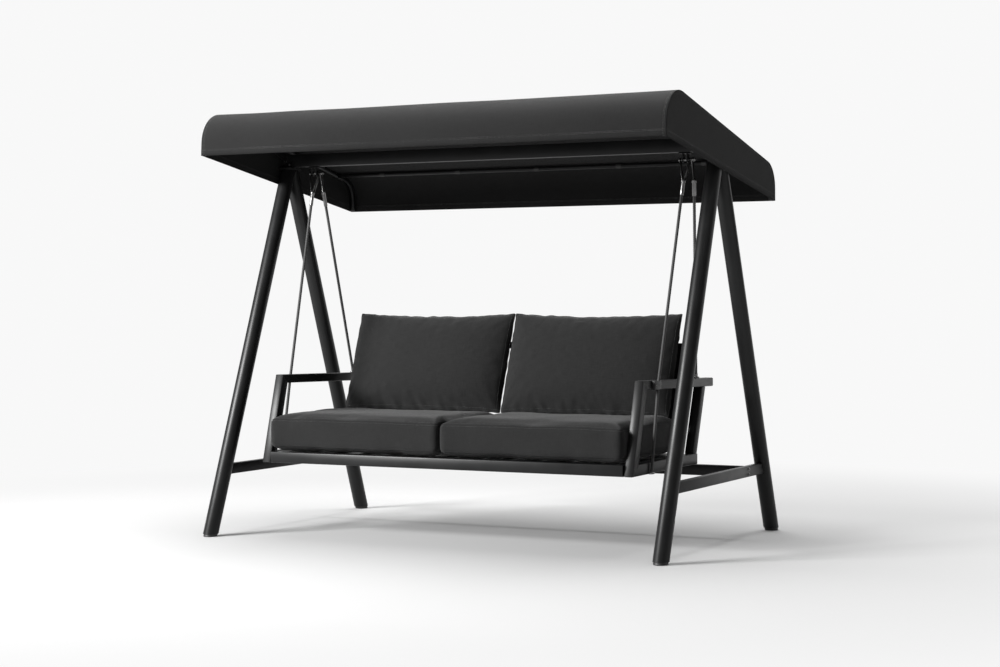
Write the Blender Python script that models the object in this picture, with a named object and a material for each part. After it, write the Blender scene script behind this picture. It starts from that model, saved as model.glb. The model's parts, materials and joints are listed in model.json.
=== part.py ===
"""Canopy swing bench: an A-frame stand, a tilting fabric canopy and a two-seat bench hung on four ropes.

Metres, +Z up. X runs along the bench, -Y is the front, the origin is on the floor under the middle
of the top beam. Each named object is one separate piece of the real swing.
"""
from math import atan, atan2, cos, pi, radians, sin, sqrt, tan

import bmesh
import bpy
from mathutils import Matrix, Vector

# ---------------------------------------------------------------- driving dimensions
GAP = 0.0003            # clearance kept between pieces that touch
WALL = 0.002            # wall of the rectangular and round frame tubes

# standing frame
FOOT_X = 1.087          # leg centre line at the floor
FOOT_Y = 0.649
APEX_X = 1.078          # leg centre lines cross here
APEX_Z = 1.697
LEG_RADIUS = 0.034
LEG_TOP_Z = 1.668       # the mitred legs are cut level here
FOOT_CAP_HEIGHT = 0.012
FOOT_CAP_RADIUS = 0.0305
FOOT_PLUG_LENGTH = 0.035
CROSSBAR_Z = 0.292      # centre height of crossbars and stretcher
CROSSBAR_HEIGHT = 0.048
CROSSBAR_WIDTH = 0.028
STRETCHER_Y = 0.324

# top beam and what carries it
BEAM_BOTTOM = 1.6783
BEAM_HEIGHT = 0.060
BEAM_DEPTH = 0.040
BEAM_HALF_LENGTH = 1.080
SADDLE_CHEEK_TOP = 1.700
SADDLE_CHEEK = 0.004

# canopy, as (y, z) of the cloth's outside
CANOPY_HALF_WIDTH = 1.118
CANOPY_FRONT_HEM = (-0.655, 1.698)
CANOPY_FRONT_TOP = (-0.642, 1.925)
CANOPY_REAR_TOP = (0.620, 1.6435)
CANOPY_REAR_HEM = (0.622, 1.4915)
CANOPY_FRONT_ROUND = 0.145
CANOPY_REAR_ROUND = 0.120
CLOTH = 0.004
BOW_RADIUS = 0.011
BOW_WALL = 0.0015
CROSS_TUBE_RADIUS = 0.010
CROSS_TUBE_Y = {"front": -0.455, "rear": 0.460}
TILT_PIVOT_Z = BEAM_BOTTOM + BEAM_HEIGHT / 2
ARM_X = (1.0855, 1.0905)        # inner and outer face of a canopy arm
ARM_HALF_WIDTH = 0.012
ARM_FRONT_Y = -0.300
ARM_REAR_Y = 0.270
STUD_RADIUS = 0.0055
KNOB_RADIUS = 0.0165

# hangers and ropes
HANGER_X = 0.935        # middle of a hanger bracket, each side
REAR_LINK_SHIFT = 0.030  # the rear link hangs this far to +X of the bracket's middle
PIN_Z = 1.647           # swing axis
PIN_RADIUS = 0.0058
PIN_HOLE_RADIUS = 0.0064
LINK_THICKNESS = 0.004
LINK_HALF_WIDTH = 0.009
YOKE_SPREAD = 0.0195    # half distance between the yoke's legs at the pin
LINK_LENGTH = 0.088     # pin to socket
SOCKET_LENGTH = 0.075
SOCKET_RADIUS = 0.0085
ROPE_RADIUS = 0.0065
FRONT_ROPE_ARM = (0.9142, -0.256, 0.700)     # where a front rope passes its armrest
FRONT_ROPE_END = (0.9142, -0.330, 0.3385)    # and where it ends on the side rail
REAR_ROPE_END = (0.8845, 0.2400, 0.7235)

# bench frame
BENCH_HALF_WIDTH = 0.9053
SIDE_WIDTH = 0.0415     # width of posts, side rails and armrests
RAIL_BOTTOM = 0.3276
RAIL_HEIGHT = 0.048
BENCH_FRONT = -0.504
SIDE_RAIL_REAR = 0.203
RAIL_DEPTH = 0.040
FRONT_RAIL_HALF_LENGTH = 0.8595
REAR_RAIL_FRONT = 0.118
FRONT_POST_LEAN = radians(16.2)
FRONT_POST_DEPTH = 0.0475
FRONT_POST_FOOT_Y = -0.5025
REAR_POST_LEAN = radians(20.0)
REAR_POST_DEPTH = 0.044
REAR_POST_FRONT_Y = 0.1525       # front face where it meets the side rail
ARMREST_TOP_FRONT = 0.7165       # height of the armrest's top at its front end
ARMREST_SLOPE = 0.0211
ARMREST_THICKNESS = 0.038
ARMREST_REAR = 0.392
EDGE_ROUND = 0.005

# seat and back
DECK_THICKNESS = 0.005
DECK_TOP = 0.3750
DECK_SLATS = 13
BACK_LEAN = radians(20.0)
BACK_FOOT_Y = 0.120     # front face of the back panel at the rear rail's top
BACK_HOOP_RADIUS = 0.016
BACK_HOOP_HALF_WIDTH = 0.820
BACK_HOOP_LENGTH = 0.500
BACK_HOOP_CORNER = 0.060
BACK_SLATS = 11
BACK_PANEL_THICKNESS = 0.005
CUSHION_SPLIT = 0.004   # half gap between the two cushions
SEAT_CUSHION_X = 0.846
SEAT_CUSHION_Y = (-0.502, 0.108)
SEAT_CUSHION_Z = (0.3790, 0.5380)
SEAT_CUSHION_ROUND = 0.030
BACK_CUSHION_X = 0.815
BACK_CUSHION_UP = 0.590              # its top, along the leaning back from the rear rail's top
BACK_CUSHION_OUT = (0.004, 0.196)    # in front of the back panel
BACK_CUSHION_ROUND = 0.045

RAIL_TOP = RAIL_BOTTOM + RAIL_HEIGHT
SIDE_X = BENCH_HALF_WIDTH - SIDE_WIDTH / 2
SIDES = {"left": -1, "right": 1}
ENDS = {"front": -1, "rear": 1}
X_AXIS = Vector((1, 0, 0))
Y_AXIS = Vector((0, 1, 0))
Z_AXIS = Vector((0, 0, 1))

# ---------------------------------------------------------------- materials
FINISHES = {
    "powder_coat": ((0.020, 0.020, 0.022), 0.42, 0.10),
    "hardware_steel": ((0.42, 0.42, 0.43), 0.30, 0.95),
    "rope": ((0.035, 0.035, 0.037), 0.80, 0.0),
    "black_plastic": ((0.016, 0.016, 0.017), 0.55, 0.0),
    "canopy_cloth": ((0.030, 0.030, 0.032), 0.92, 0.0),
    "cushion_cloth": ((0.034, 0.034, 0.037), 0.92, 0.0),
}


def make_materials():
    """One Principled material for each finish of the swing."""
    made = {}
    for name, (colour, roughness, metallic) in FINISHES.items():
        material = bpy.data.materials.new(name)
        material.use_nodes = True
        shader = material.node_tree.nodes["Principled BSDF"]
        shader.inputs["Base Color"].default_value = (*colour, 1.0)
        shader.inputs["Roughness"].default_value = roughness
        shader.inputs["Metallic"].default_value = metallic
        made[name] = material
    return made


# ---------------------------------------------------------------- mesh helpers
def add_object(name, mesh_data, finish, parent=None, smooth_angle=35.0):
    """Turn a bmesh, in world coordinates, into a named object that hangs on its parent empty."""
    bmesh.ops.recalc_face_normals(mesh_data, faces=mesh_data.faces)
    mesh = bpy.data.meshes.new(name)
    if parent:
        bmesh.ops.translate(mesh_data, verts=mesh_data.verts, vec=-parent.location)
    mesh_data.to_mesh(mesh)
    mesh_data.free()
    mesh.shade_smooth()
    mesh.set_sharp_from_angle(angle=radians(smooth_angle))
    mesh.materials.append(MATERIALS[finish])
    thing = bpy.data.objects.new(name, mesh)
    bpy.context.collection.objects.link(thing)
    thing.parent = parent
    return thing


def ring(mesh_data, points):
    return [mesh_data.verts.new(p) for p in points]


def bridge(mesh_data, first, second):
    """Quads between two rings with the same number of points."""
    count = len(first)
    for i in range(count):
        j = (i + 1) % count
        mesh_data.faces.new((first[i], first[j], second[j], second[i]))


def circle(radius, count):
    return [(radius * cos(2 * pi * i / count), radius * sin(2 * pi * i / count)) for i in range(count)]


def rounded_rectangle(width, height, corner, corner_steps=2, flat_steps=1):
    """Points round a rectangle; its two sides along the width are cut into flat_steps lengths."""
    points = []
    for cx, cy, start in ((1, 1, 0.0), (-1, 1, 0.5), (-1, -1, 1.0), (1, -1, 1.5)):
        centre = (cx * (width / 2 - corner), cy * (height / 2 - corner))
        for step in range(corner_steps + 1):
            angle = pi * (start + 0.5 * step / corner_steps)
            points.append((centre[0] + corner * cos(angle), centre[1] + corner * sin(angle)))
        if cx == cy:
            last = points[-1]
            for step in range(1, flat_steps):
                x = last[0] - 2 * last[0] * step / flat_steps
                points.append((x, last[1]))
    return points


def plane_cut(point, normal):
    """How far along its line a point travels to reach a plane."""
    point, normal = Vector(point), Vector(normal)
    return lambda start, way: (point - start).dot(normal) / way.dot(normal)


def round_cut(axis_point, axis_way, radius, leaving):
    """How far along its line a point travels to leave, or to reach, a round tube."""
    axis_point, axis_way = Vector(axis_point), Vector(axis_way).normalized()

    def travel(start, way):
        offset = start - axis_point
        across = offset - axis_way * offset.dot(axis_way)
        side = way - axis_way * way.dot(axis_way)
        a, b, c = side.dot(side), across.dot(side), across.dot(across) - radius * radius
        root = sqrt(max(b * b - a * c, 0.0))
        return (-b + root) / a if leaving else (-b - root) / a

    return travel


def first_of(*cuts):
    return lambda start, way: min(cut(start, way) for cut in cuts)


def bar(mesh_data, origin, way, up, outer, start, end, inner=None, end_wall=0.0):
    """A straight bar through origin. inner makes it a tube, and end_wall closes the tube's far end."""
    way = Vector(way).normalized()
    up = (Vector(up) - way * Vector(up).dot(way)).normalized()
    across = up.cross(way)
    origin = Vector(origin)

    def at(profile, cut, short=0.0):
        lines = [origin + across * u + up * v for u, v in profile]
        return ring(mesh_data, [p + way * (cut(p, way) - short) for p in lines])

    outer_start, outer_end = at(outer, start), at(outer, end)
    bridge(mesh_data, outer_start, outer_end)
    if inner is None:
        mesh_data.faces.new(outer_start)
        mesh_data.faces.new(outer_end)
        return
    inner_start, inner_end = at(inner, start), at(inner, end, end_wall)
    bridge(mesh_data, inner_start, inner_end)
    bridge(mesh_data, outer_start, inner_start)
    if end_wall:
        mesh_data.faces.new(outer_end)
        mesh_data.faces.new(inner_end)
    else:
        bridge(mesh_data, outer_end, inner_end)


def box_tube(name, origin, way, up, width, height, start, end, end_wall=0.0, flat_steps=1, parent=None):
    """A rectangular tube with rounded edges; width is across up, height is along it."""
    outer = rounded_rectangle(width, height, EDGE_ROUND, flat_steps=flat_steps)
    inner = rounded_rectangle(width - 2 * WALL, height - 2 * WALL, EDGE_ROUND - WALL, flat_steps=flat_steps)
    mesh_data = bmesh.new()
    bar(mesh_data, origin, way, up, outer, start, end, inner, end_wall)
    return add_object(name, mesh_data, "powder_coat", parent)


def path_tube(points, radius, count, inner_radius=0.0):
    """A round tube or rod along a run of points."""
    mesh_data = bmesh.new()
    points = [Vector(p) for p in points]
    ways = [(b - a).normalized() for a, b in zip(points, points[1:])]
    tangents = [ways[0]] + [(a + b).normalized() for a, b in zip(ways, ways[1:])] + [ways[-1]]
    side = X_AXIS - tangents[0] * X_AXIS.dot(tangents[0])
    if side.length < 0.1:
        side = Z_AXIS.copy()
    outer, inner = [], []
    for point, tangent in zip(points, tangents):
        side = (side - tangent * side.dot(tangent)).normalized()
        other = tangent.cross(side)
        for rings, size in ((outer, radius), (inner, inner_radius)):
            if size:
                outline = [point + side * u + other * v for u, v in circle(size, count)]
                rings.append(ring(mesh_data, outline))
    for rings in (outer, inner):
        for a, b in zip(rings, rings[1:]):
            bridge(mesh_data, a, b)
    if inner:
        bridge(mesh_data, outer[0], inner[0])
        bridge(mesh_data, outer[-1], inner[-1])
    else:
        mesh_data.faces.new(outer[0])
        mesh_data.faces.new(outer[-1])
    return mesh_data


def turned(base, way, profile, count=16):
    """A turned solid: profile is a run of (distance along way, radius)."""
    mesh_data = bmesh.new()
    way = Vector(way).normalized()
    side = way.orthogonal().normalized()
    other = way.cross(side)
    base = Vector(base)
    rings = [ring(mesh_data, [base + way * t + side * u + other * v for u, v in circle(r, count)])
             for t, r in profile]
    for a, b in zip(rings, rings[1:]):
        bridge(mesh_data, a, b)
    mesh_data.faces.new(rings[0])
    mesh_data.faces.new(rings[-1])
    return mesh_data


def block(low, high, round_edges=0.0):
    """A box from its lowest to its highest corner."""
    mesh_data = bmesh.new()
    low, high = Vector(low), Vector(high)
    place = Matrix.Translation((low + high) / 2) @ Matrix.Diagonal((*(high - low), 1.0))
    bmesh.ops.create_cube(mesh_data, size=1.0, matrix=place)
    if round_edges:
        bmesh.ops.bevel(mesh_data, geom=mesh_data.edges[:], offset=round_edges, segments=3,
                        profile=0.5, affect="EDGES")
    return mesh_data


def outline_x(points, x_low, x_high):
    """A plate whose (y, z) outline runs from x_low to x_high."""
    mesh_data = bmesh.new()
    low = ring(mesh_data, [(x_low, y, z) for y, z in points])
    high = ring(mesh_data, [(x_high, y, z) for y, z in points])
    bridge(mesh_data, low, high)
    mesh_data.faces.new(low)
    mesh_data.faces.new(high)
    return mesh_data


def capsule(first, second, half_width, steps=6):
    """Outline of a strip with round ends between two (y, z) points."""
    angle = atan2(second[1] - first[1], second[0] - first[0])
    points = []
    for centre, start in ((second, angle - pi / 2), (first, angle + pi / 2)):
        for step in range(steps + 1):
            turn = start + pi * step / steps
            points.append((centre[0] + half_width * cos(turn), centre[1] + half_width * sin(turn)))
    return points


def joined(target, tool, operation):
    """Cut tool out of target, or weld it on, and return the result; both are used up."""
    things = []
    for mesh_data in (target, tool):
        bmesh.ops.recalc_face_normals(mesh_data, faces=mesh_data.faces)
        mesh = bpy.data.meshes.new("working")
        mesh_data.to_mesh(mesh)
        mesh_data.free()
        thing = bpy.data.objects.new("working", mesh)
        bpy.context.collection.objects.link(thing)
        things.append(thing)
    modifier = things[0].modifiers.new("join", "BOOLEAN")
    modifier.operation = operation
    modifier.object = things[1]
    evaluated = things[0].evaluated_get(bpy.context.evaluated_depsgraph_get())
    result = bmesh.new()
    result.from_mesh(evaluated.to_mesh())
    evaluated.to_mesh_clear()
    for thing in things:
        mesh = thing.data
        bpy.data.objects.remove(thing)
        bpy.data.meshes.remove(mesh)
    return result


def fillet(before, corner, after, radius, steps=5):
    """Points of the arc that rounds a corner in a plane."""
    before, corner, after = Vector(before), Vector(corner), Vector(after)
    one, two = (before - corner).normalized(), (after - corner).normalized()
    half = one.angle(two) / 2
    centre = corner + (one + two).normalized() * radius / sin(half)
    start = corner + one * radius / tan(half)
    arm = start - centre
    sweep = (pi - 2 * half) * (1 if one.x * two.y - one.y * two.x < 0 else -1)
    points = []
    for step in range(steps + 1):
        turn = sweep * step / steps
        points.append((centre.x + arm.x * cos(turn) - arm.y * sin(turn),
                       centre.y + arm.x * sin(turn) + arm.y * cos(turn)))
    return points


def crossing(a, b, c, d):
    """Where line a-b meets line c-d in a plane."""
    a, b, c, d = Vector(a), Vector(b), Vector(c), Vector(d)
    one, two, gap = b - a, d - c, c - a
    travel = (gap.x * two.y - gap.y * two.x) / (one.x * two.y - one.y * two.x)
    return a + one * travel


def mirrored(point, side):
    return Vector((side * point[0], point[1], point[2]))


# ---------------------------------------------------------------- standing frame
def leg_line(side, end):
    """Foot point and upward direction of a leg's centre line."""
    foot = Vector((side * FOOT_X, end * FOOT_Y, 0.0))
    return foot, (Vector((side * APEX_X, 0.0, APEX_Z)) - foot).normalized()


def build_legs():
    for side_name, side in SIDES.items():
        for end_name, end in ENDS.items():
            foot, way = leg_line(side, end)
            start = plane_cut((0, 0, FOOT_CAP_HEIGHT), Z_AXIS)
            mitre = plane_cut((0, end * GAP / 2, 0), Y_AXIS)
            level = plane_cut((0, 0, LEG_TOP_Z), Z_AXIS)
            mesh_data = bmesh.new()
            bar(mesh_data, foot, way, X_AXIS, circle(LEG_RADIUS, 28), start, first_of(mitre, level),
                circle(LEG_RADIUS - WALL, 28))
            add_object(f"leg_{end_name}_{side_name}", mesh_data, "powder_coat")
            build_foot_cap(f"foot_cap_{end_name}_{side_name}", foot, way)


def build_foot_cap(name, foot, way):
    """A tread with a softened lower edge and a plug that goes up into the leg."""
    plug_radius = LEG_RADIUS - WALL - GAP
    tread = FOOT_CAP_HEIGHT - GAP
    levels = [(0.0, FOOT_CAP_RADIUS - 0.003), (0.003, FOOT_CAP_RADIUS), (tread, FOOT_CAP_RADIUS),
              (tread, plug_radius), (FOOT_PLUG_LENGTH, plug_radius - 0.001)]
    mesh_data = bmesh.new()
    across = X_AXIS - way * X_AXIS.dot(way)
    across.normalize()
    other = way.cross(across)
    rings = []
    for height, radius in levels:
        cut = plane_cut((0, 0, height), Z_AXIS)
        lines = [foot + across * u + other * v for u, v in circle(radius, 24)]
        rings.append(ring(mesh_data, [p + way * cut(p, way) for p in lines]))
    for a, b in zip(rings, rings[1:]):
        bridge(mesh_data, a, b)
    mesh_data.faces.new(rings[0])
    mesh_data.faces.new(rings[-1])
    add_object(name, mesh_data, "black_plastic")


def build_crossbars():
    bar_x = FOOT_X + (APEX_X - FOOT_X) * CROSSBAR_Z / APEX_Z
    for side_name, side in SIDES.items():
        front_foot, front_way = leg_line(side, -1)
        rear_foot, rear_way = leg_line(side, 1)
        box_tube(f"side_crossbar_{side_name}", (side * bar_x, 0, CROSSBAR_Z), Y_AXIS, Z_AXIS,
                 CROSSBAR_WIDTH, CROSSBAR_HEIGHT,
                 round_cut(front_foot, front_way, LEG_RADIUS + GAP, True),
                 round_cut(rear_foot, rear_way, LEG_RADIUS + GAP, False), flat_steps=5)
    inner_face = bar_x - CROSSBAR_WIDTH / 2 - GAP
    box_tube("rear_stretcher", (0, STRETCHER_Y, CROSSBAR_Z), X_AXIS, Z_AXIS,
             CROSSBAR_WIDTH, CROSSBAR_HEIGHT,
             plane_cut((-inner_face, 0, 0), X_AXIS), plane_cut((inner_face, 0, 0), X_AXIS))


def build_beam():
    box_tube("top_beam", (0, 0, TILT_PIVOT_Z), X_AXIS, Z_AXIS, BEAM_DEPTH, BEAM_HEIGHT,
             plane_cut((-BEAM_HALF_LENGTH, 0, 0), X_AXIS), plane_cut((BEAM_HALF_LENGTH, 0, 0), X_AXIS))
    inside = BEAM_DEPTH / 2 + GAP
    outside = inside + SADDLE_CHEEK
    base_low, base_high = LEG_TOP_Z + GAP, BEAM_BOTTOM - GAP
    cradle = [(-outside, base_low), (outside, base_low), (outside, SADDLE_CHEEK_TOP),
              (inside, SADDLE_CHEEK_TOP), (inside, base_high), (-inside, base_high),
              (-inside, SADDLE_CHEEK_TOP), (-outside, SADDLE_CHEEK_TOP)]
    for side_name, side in SIDES.items():
        cheeks = outline_x(cradle, side * (APEX_X - LEG_RADIUS + 0.002), side * BEAM_HALF_LENGTH)
        base_x = sorted((side * (APEX_X - LEG_RADIUS), side * (APEX_X + LEG_RADIUS)))
        base = block((base_x[0], -0.046, base_low), (base_x[1], 0.046, base_high))
        add_object(f"apex_saddle_{side_name}", joined(base, cheeks, "UNION"), "powder_coat")
        plug_start = side * (BEAM_HALF_LENGTH - 0.032)
        plug = [(0.0, 0.0165), (0.0317, 0.0165), (0.0317, 0.0100), (0.0323, 0.0100), (0.0323, 0.0190),
                (0.0368, 0.0190), (0.0368, STUD_RADIUS), (0.0505, STUD_RADIUS)]
        add_object(f"tilt_pivot_{side_name}",
                   turned((plug_start, 0, TILT_PIVOT_Z), X_AXIS * side, plug), "hardware_steel")


def build_hanger_brackets():
    """Clevis ears under the beam with the bolt that is the swing's axis."""
    ear_in, ear_out = 0.0085, 0.0125
    plate_low, plate_high = BEAM_BOTTOM - 0.006, BEAM_BOTTOM - GAP
    for side_name, side in SIDES.items():
        middle = side * HANGER_X
        bracket = block((middle - 0.024, -0.020, plate_low), (middle + 0.024, 0.020, plate_high))
        for sign in (-1, 1):
            faces = sorted((middle + sign * ear_in, middle + sign * ear_out))
            ear = capsule((0, PIN_Z), (0, plate_low + 0.002), 0.013)
            ear = [(y, min(z, plate_high - 0.002)) for y, z in ear]
            bracket = joined(bracket, outline_x(ear, *faces), "UNION")
        hole = turned((middle - 0.02, 0, PIN_Z), X_AXIS, [(0, PIN_HOLE_RADIUS), (0.04, PIN_HOLE_RADIUS)])
        add_object(f"hanger_bracket_{side_name}", joined(bracket, hole, "DIFFERENCE"), "powder_coat")
        low = -YOKE_SPREAD - LINK_THICKNESS / 2 - 0.001
        high = REAR_LINK_SHIFT + LINK_THICKNESS / 2 + 0.001
        pin = [(low - 0.006, 0.0075), (low - 0.0045, 0.0095), (low, 0.0095), (low, PIN_RADIUS),
               (high, PIN_RADIUS), (high, 0.0090), (high + 0.006, 0.0090), (high + 0.0075, 0.0070)]
        add_object(f"hanger_pin_{side_name}", turned((middle, 0, PIN_Z), X_AXIS, pin), "hardware_steel")


# ---------------------------------------------------------------- canopy
def canopy_profile(inset, steps=5):
    """(y, z) run from the front hem over the top to the rear hem, moved in from the cloth's outside."""
    corners = [Vector(p) for p in (CANOPY_FRONT_HEM, CANOPY_FRONT_TOP, CANOPY_REAR_TOP, CANOPY_REAR_HEM)]
    lines = []
    for a, b in zip(corners, corners[1:]):
        way = (b - a).normalized()
        inward = Vector((way.y, -way.x)) * inset
        lines.append((a + inward, b + inward))
    front_top = crossing(*lines[0], *lines[1])
    rear_top = crossing(*lines[1], *lines[2])
    front_hem, rear_hem = lines[0][0], lines[2][1]
    return ([tuple(front_hem)]
            + fillet(front_hem, front_top, rear_top, CANOPY_FRONT_ROUND - inset, steps)
            + fillet(front_top, rear_top, rear_hem, CANOPY_REAR_ROUND - inset, steps)
            + [tuple(rear_hem)])


def top_line_height(y, inset):
    """Height of the canopy's sloping top at y, moved in from the cloth's outside."""
    (y1, z1), (y2, z2) = CANOPY_FRONT_TOP, CANOPY_REAR_TOP
    slope = (z2 - z1) / (y2 - y1)
    return z1 + slope * (y - y1) - inset * sqrt(1 + slope * slope)


def build_canopy(tilt):
    profile = canopy_profile(0.0)
    mesh_data = bmesh.new()
    rows = [ring(mesh_data, [(side * CANOPY_HALF_WIDTH, y, z) for y, z in profile]) for side in (-1, 1)]
    for i in range(len(profile) - 1):
        mesh_data.faces.new((rows[0][i], rows[0][i + 1], rows[1][i + 1], rows[1][i]))
    for row in rows:
        mesh_data.faces.new(row)
    cover = add_object("canopy_cover", mesh_data, "canopy_cloth", tilt)
    shell = cover.modifiers.new("cloth", "SOLIDIFY")
    shell.thickness = CLOTH
    shell.offset = -1.0
    shell.use_even_offset = True

    bow_inset = CLOTH + 0.0008 + BOW_RADIUS
    bow_x = CANOPY_HALF_WIDTH - bow_inset
    for side_name, side in SIDES.items():
        path = [(side * bow_x, y, z) for y, z in canopy_profile(bow_inset)]
        path[0] = (path[0][0], path[0][1], path[0][2] + 0.006)
        path[-1] = (path[-1][0], path[-1][1], path[-1][2] + 0.006)
        add_object(f"canopy_bow_{side_name}",
                   path_tube(path, BOW_RADIUS, 12, BOW_RADIUS - BOW_WALL), "powder_coat", tilt)
        build_canopy_arm(side_name, side, bow_inset, tilt)

    (y1, z1), (y2, z2) = CANOPY_FRONT_TOP, CANOPY_REAR_TOP
    slope_way = Vector((0, y2 - y1, z2 - z1))
    for name, y in CROSS_TUBE_Y.items():
        z = top_line_height(y, bow_inset)
        mesh_data = bmesh.new()
        bar(mesh_data, (0, y, z), X_AXIS, Z_AXIS, circle(CROSS_TUBE_RADIUS, 16),
            round_cut((-bow_x, y, z), slope_way, BOW_RADIUS + GAP, True),
            round_cut((bow_x, y, z), slope_way, BOW_RADIUS + GAP, False),
            circle(CROSS_TUBE_RADIUS - BOW_WALL, 16))
        add_object(f"canopy_cross_tube_{name}", mesh_data, "powder_coat", tilt)


def build_canopy_arm(side_name, side, bow_inset, tilt):
    """A flat V-shaped arm: its hub sits on the pivot stud, its ends are bolted to the side bow."""
    hub = (0.0, TILT_PIVOT_Z)
    faces = sorted(side * x for x in ARM_X)
    ends = [(y, top_line_height(y, bow_inset + 0.002)) for y in (ARM_FRONT_Y, ARM_REAR_Y)]
    arm = outline_x(capsule(hub, ends[0], ARM_HALF_WIDTH), *faces)
    rear = outline_x(capsule(hub, ends[1], ARM_HALF_WIDTH), *faces)
    arm = joined(arm, rear, "UNION")
    boss = turned((faces[0], 0, TILT_PIVOT_Z), X_AXIS, [(0, 0.019), (faces[1] - faces[0], 0.019)], 24)
    arm = joined(arm, boss, "UNION")
    hole_radius = STUD_RADIUS + 0.0006
    hole = turned((faces[0] - 0.005, 0, TILT_PIVOT_Z), X_AXIS, [(0, hole_radius), (0.015, hole_radius)])
    add_object(f"canopy_arm_{side_name}", joined(arm, hole, "DIFFERENCE"), "powder_coat", tilt)


def build_tilt_knob(side_name, side, hub):
    """A lobed clamping knob with a blind hole for the stud."""
    lobes, steps, depth = 6, 36, 0.0012
    start = side * (ARM_X[1] + 0.0006)
    finish = side * (CANOPY_HALF_WIDTH - CLOTH - 0.0030)
    points = []
    for i in range(steps):
        angle = 2 * pi * i / steps
        radius = KNOB_RADIUS - depth + depth * cos(lobes * angle)
        points.append((radius * cos(angle), TILT_PIVOT_Z + radius * sin(angle)))
    knob = outline_x(points, *sorted((start, finish)))
    hole = turned((start - side * 0.002, 0, TILT_PIVOT_Z), X_AXIS * side,
                  [(0, STUD_RADIUS + 0.0004), (0.0105, STUD_RADIUS + 0.0004)])
    add_object(f"tilt_knob_{side_name}", joined(knob, hole, "DIFFERENCE"), "black_plastic", hub)


# ---------------------------------------------------------------- hangers and ropes
def rope_start(pin_point, target):
    """Where a hanger's socket begins, straight below the pin on the way to target, and the rope's way."""
    down = Vector((0, target.y - pin_point.y, target.z - pin_point.z)).normalized()
    joint = pin_point + down * LINK_LENGTH
    return joint, (target - joint).normalized()


def build_front_hanger(name, pin_point, target, swing):
    """A yoke: two legs from the bolt meet at the socket that is swaged on the rope."""
    joint, way = rope_start(pin_point, target)
    down = Vector((0, joint.y - pin_point.y, joint.z - pin_point.z)).normalized()
    back = down.cross(X_AXIS)
    yoke = turned(joint - way * 0.004, way,
                  [(0, 0.0085), (0.003, 0.0105), (0.016, 0.0105), (0.019, SOCKET_RADIUS),
                   (SOCKET_LENGTH - 0.004, SOCKET_RADIUS), (SOCKET_LENGTH, SOCKET_RADIUS - 0.0015)])
    for sign in (-1, 1):
        rows = []
        leg = bmesh.new()
        stations = ((-LINK_HALF_WIDTH, YOKE_SPREAD), (0.012, YOKE_SPREAD), (LINK_LENGTH + 0.004, 0.004))
        for travel, offset in stations:
            centre = pin_point + down * travel + X_AXIS * sign * offset
            half_x, half_back = X_AXIS * LINK_THICKNESS / 2, back * LINK_HALF_WIDTH
            if travel < 0:
                half_back = half_back * 0.55
            rows.append(ring(leg, [centre + half_x + half_back, centre - half_x + half_back,
                                   centre - half_x - half_back, centre + half_x - half_back]))
        for a, b in zip(rows, rows[1:]):
            bridge(leg, a, b)
        leg.faces.new(rows[0])
        leg.faces.new(rows[-1])
        yoke = joined(yoke, leg, "UNION")
    hole = turned(pin_point - X_AXIS * 0.03, X_AXIS, [(0, PIN_HOLE_RADIUS), (0.06, PIN_HOLE_RADIUS)])
    add_object(name, joined(yoke, hole, "DIFFERENCE"), "hardware_steel", swing)
    return joint + way * (SOCKET_LENGTH - 0.004 + GAP), way


def build_rear_hanger(name, pin_point, target, swing):
    """A single strap from the bolt to the socket that is swaged on the rope."""
    joint, way = rope_start(pin_point, target)
    outline = capsule((pin_point.y, pin_point.z), (joint.y, joint.z), LINK_HALF_WIDTH)
    half = LINK_THICKNESS / 2
    strap = outline_x(outline, pin_point.x - half, pin_point.x + half)
    socket = turned(joint - way * 0.004, way,
                    [(0, 0.0085), (0.003, 0.0105), (0.016, 0.0105), (0.019, SOCKET_RADIUS),
                     (SOCKET_LENGTH - 0.004, SOCKET_RADIUS), (SOCKET_LENGTH, SOCKET_RADIUS - 0.0015)])
    strap = joined(strap, socket, "UNION")
    hole = turned(pin_point - X_AXIS * 0.01, X_AXIS, [(0, PIN_HOLE_RADIUS), (0.02, PIN_HOLE_RADIUS)])
    add_object(name, joined(strap, hole, "DIFFERENCE"), "hardware_steel", swing)
    return joint + way * (SOCKET_LENGTH - 0.004 + GAP), way


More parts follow.
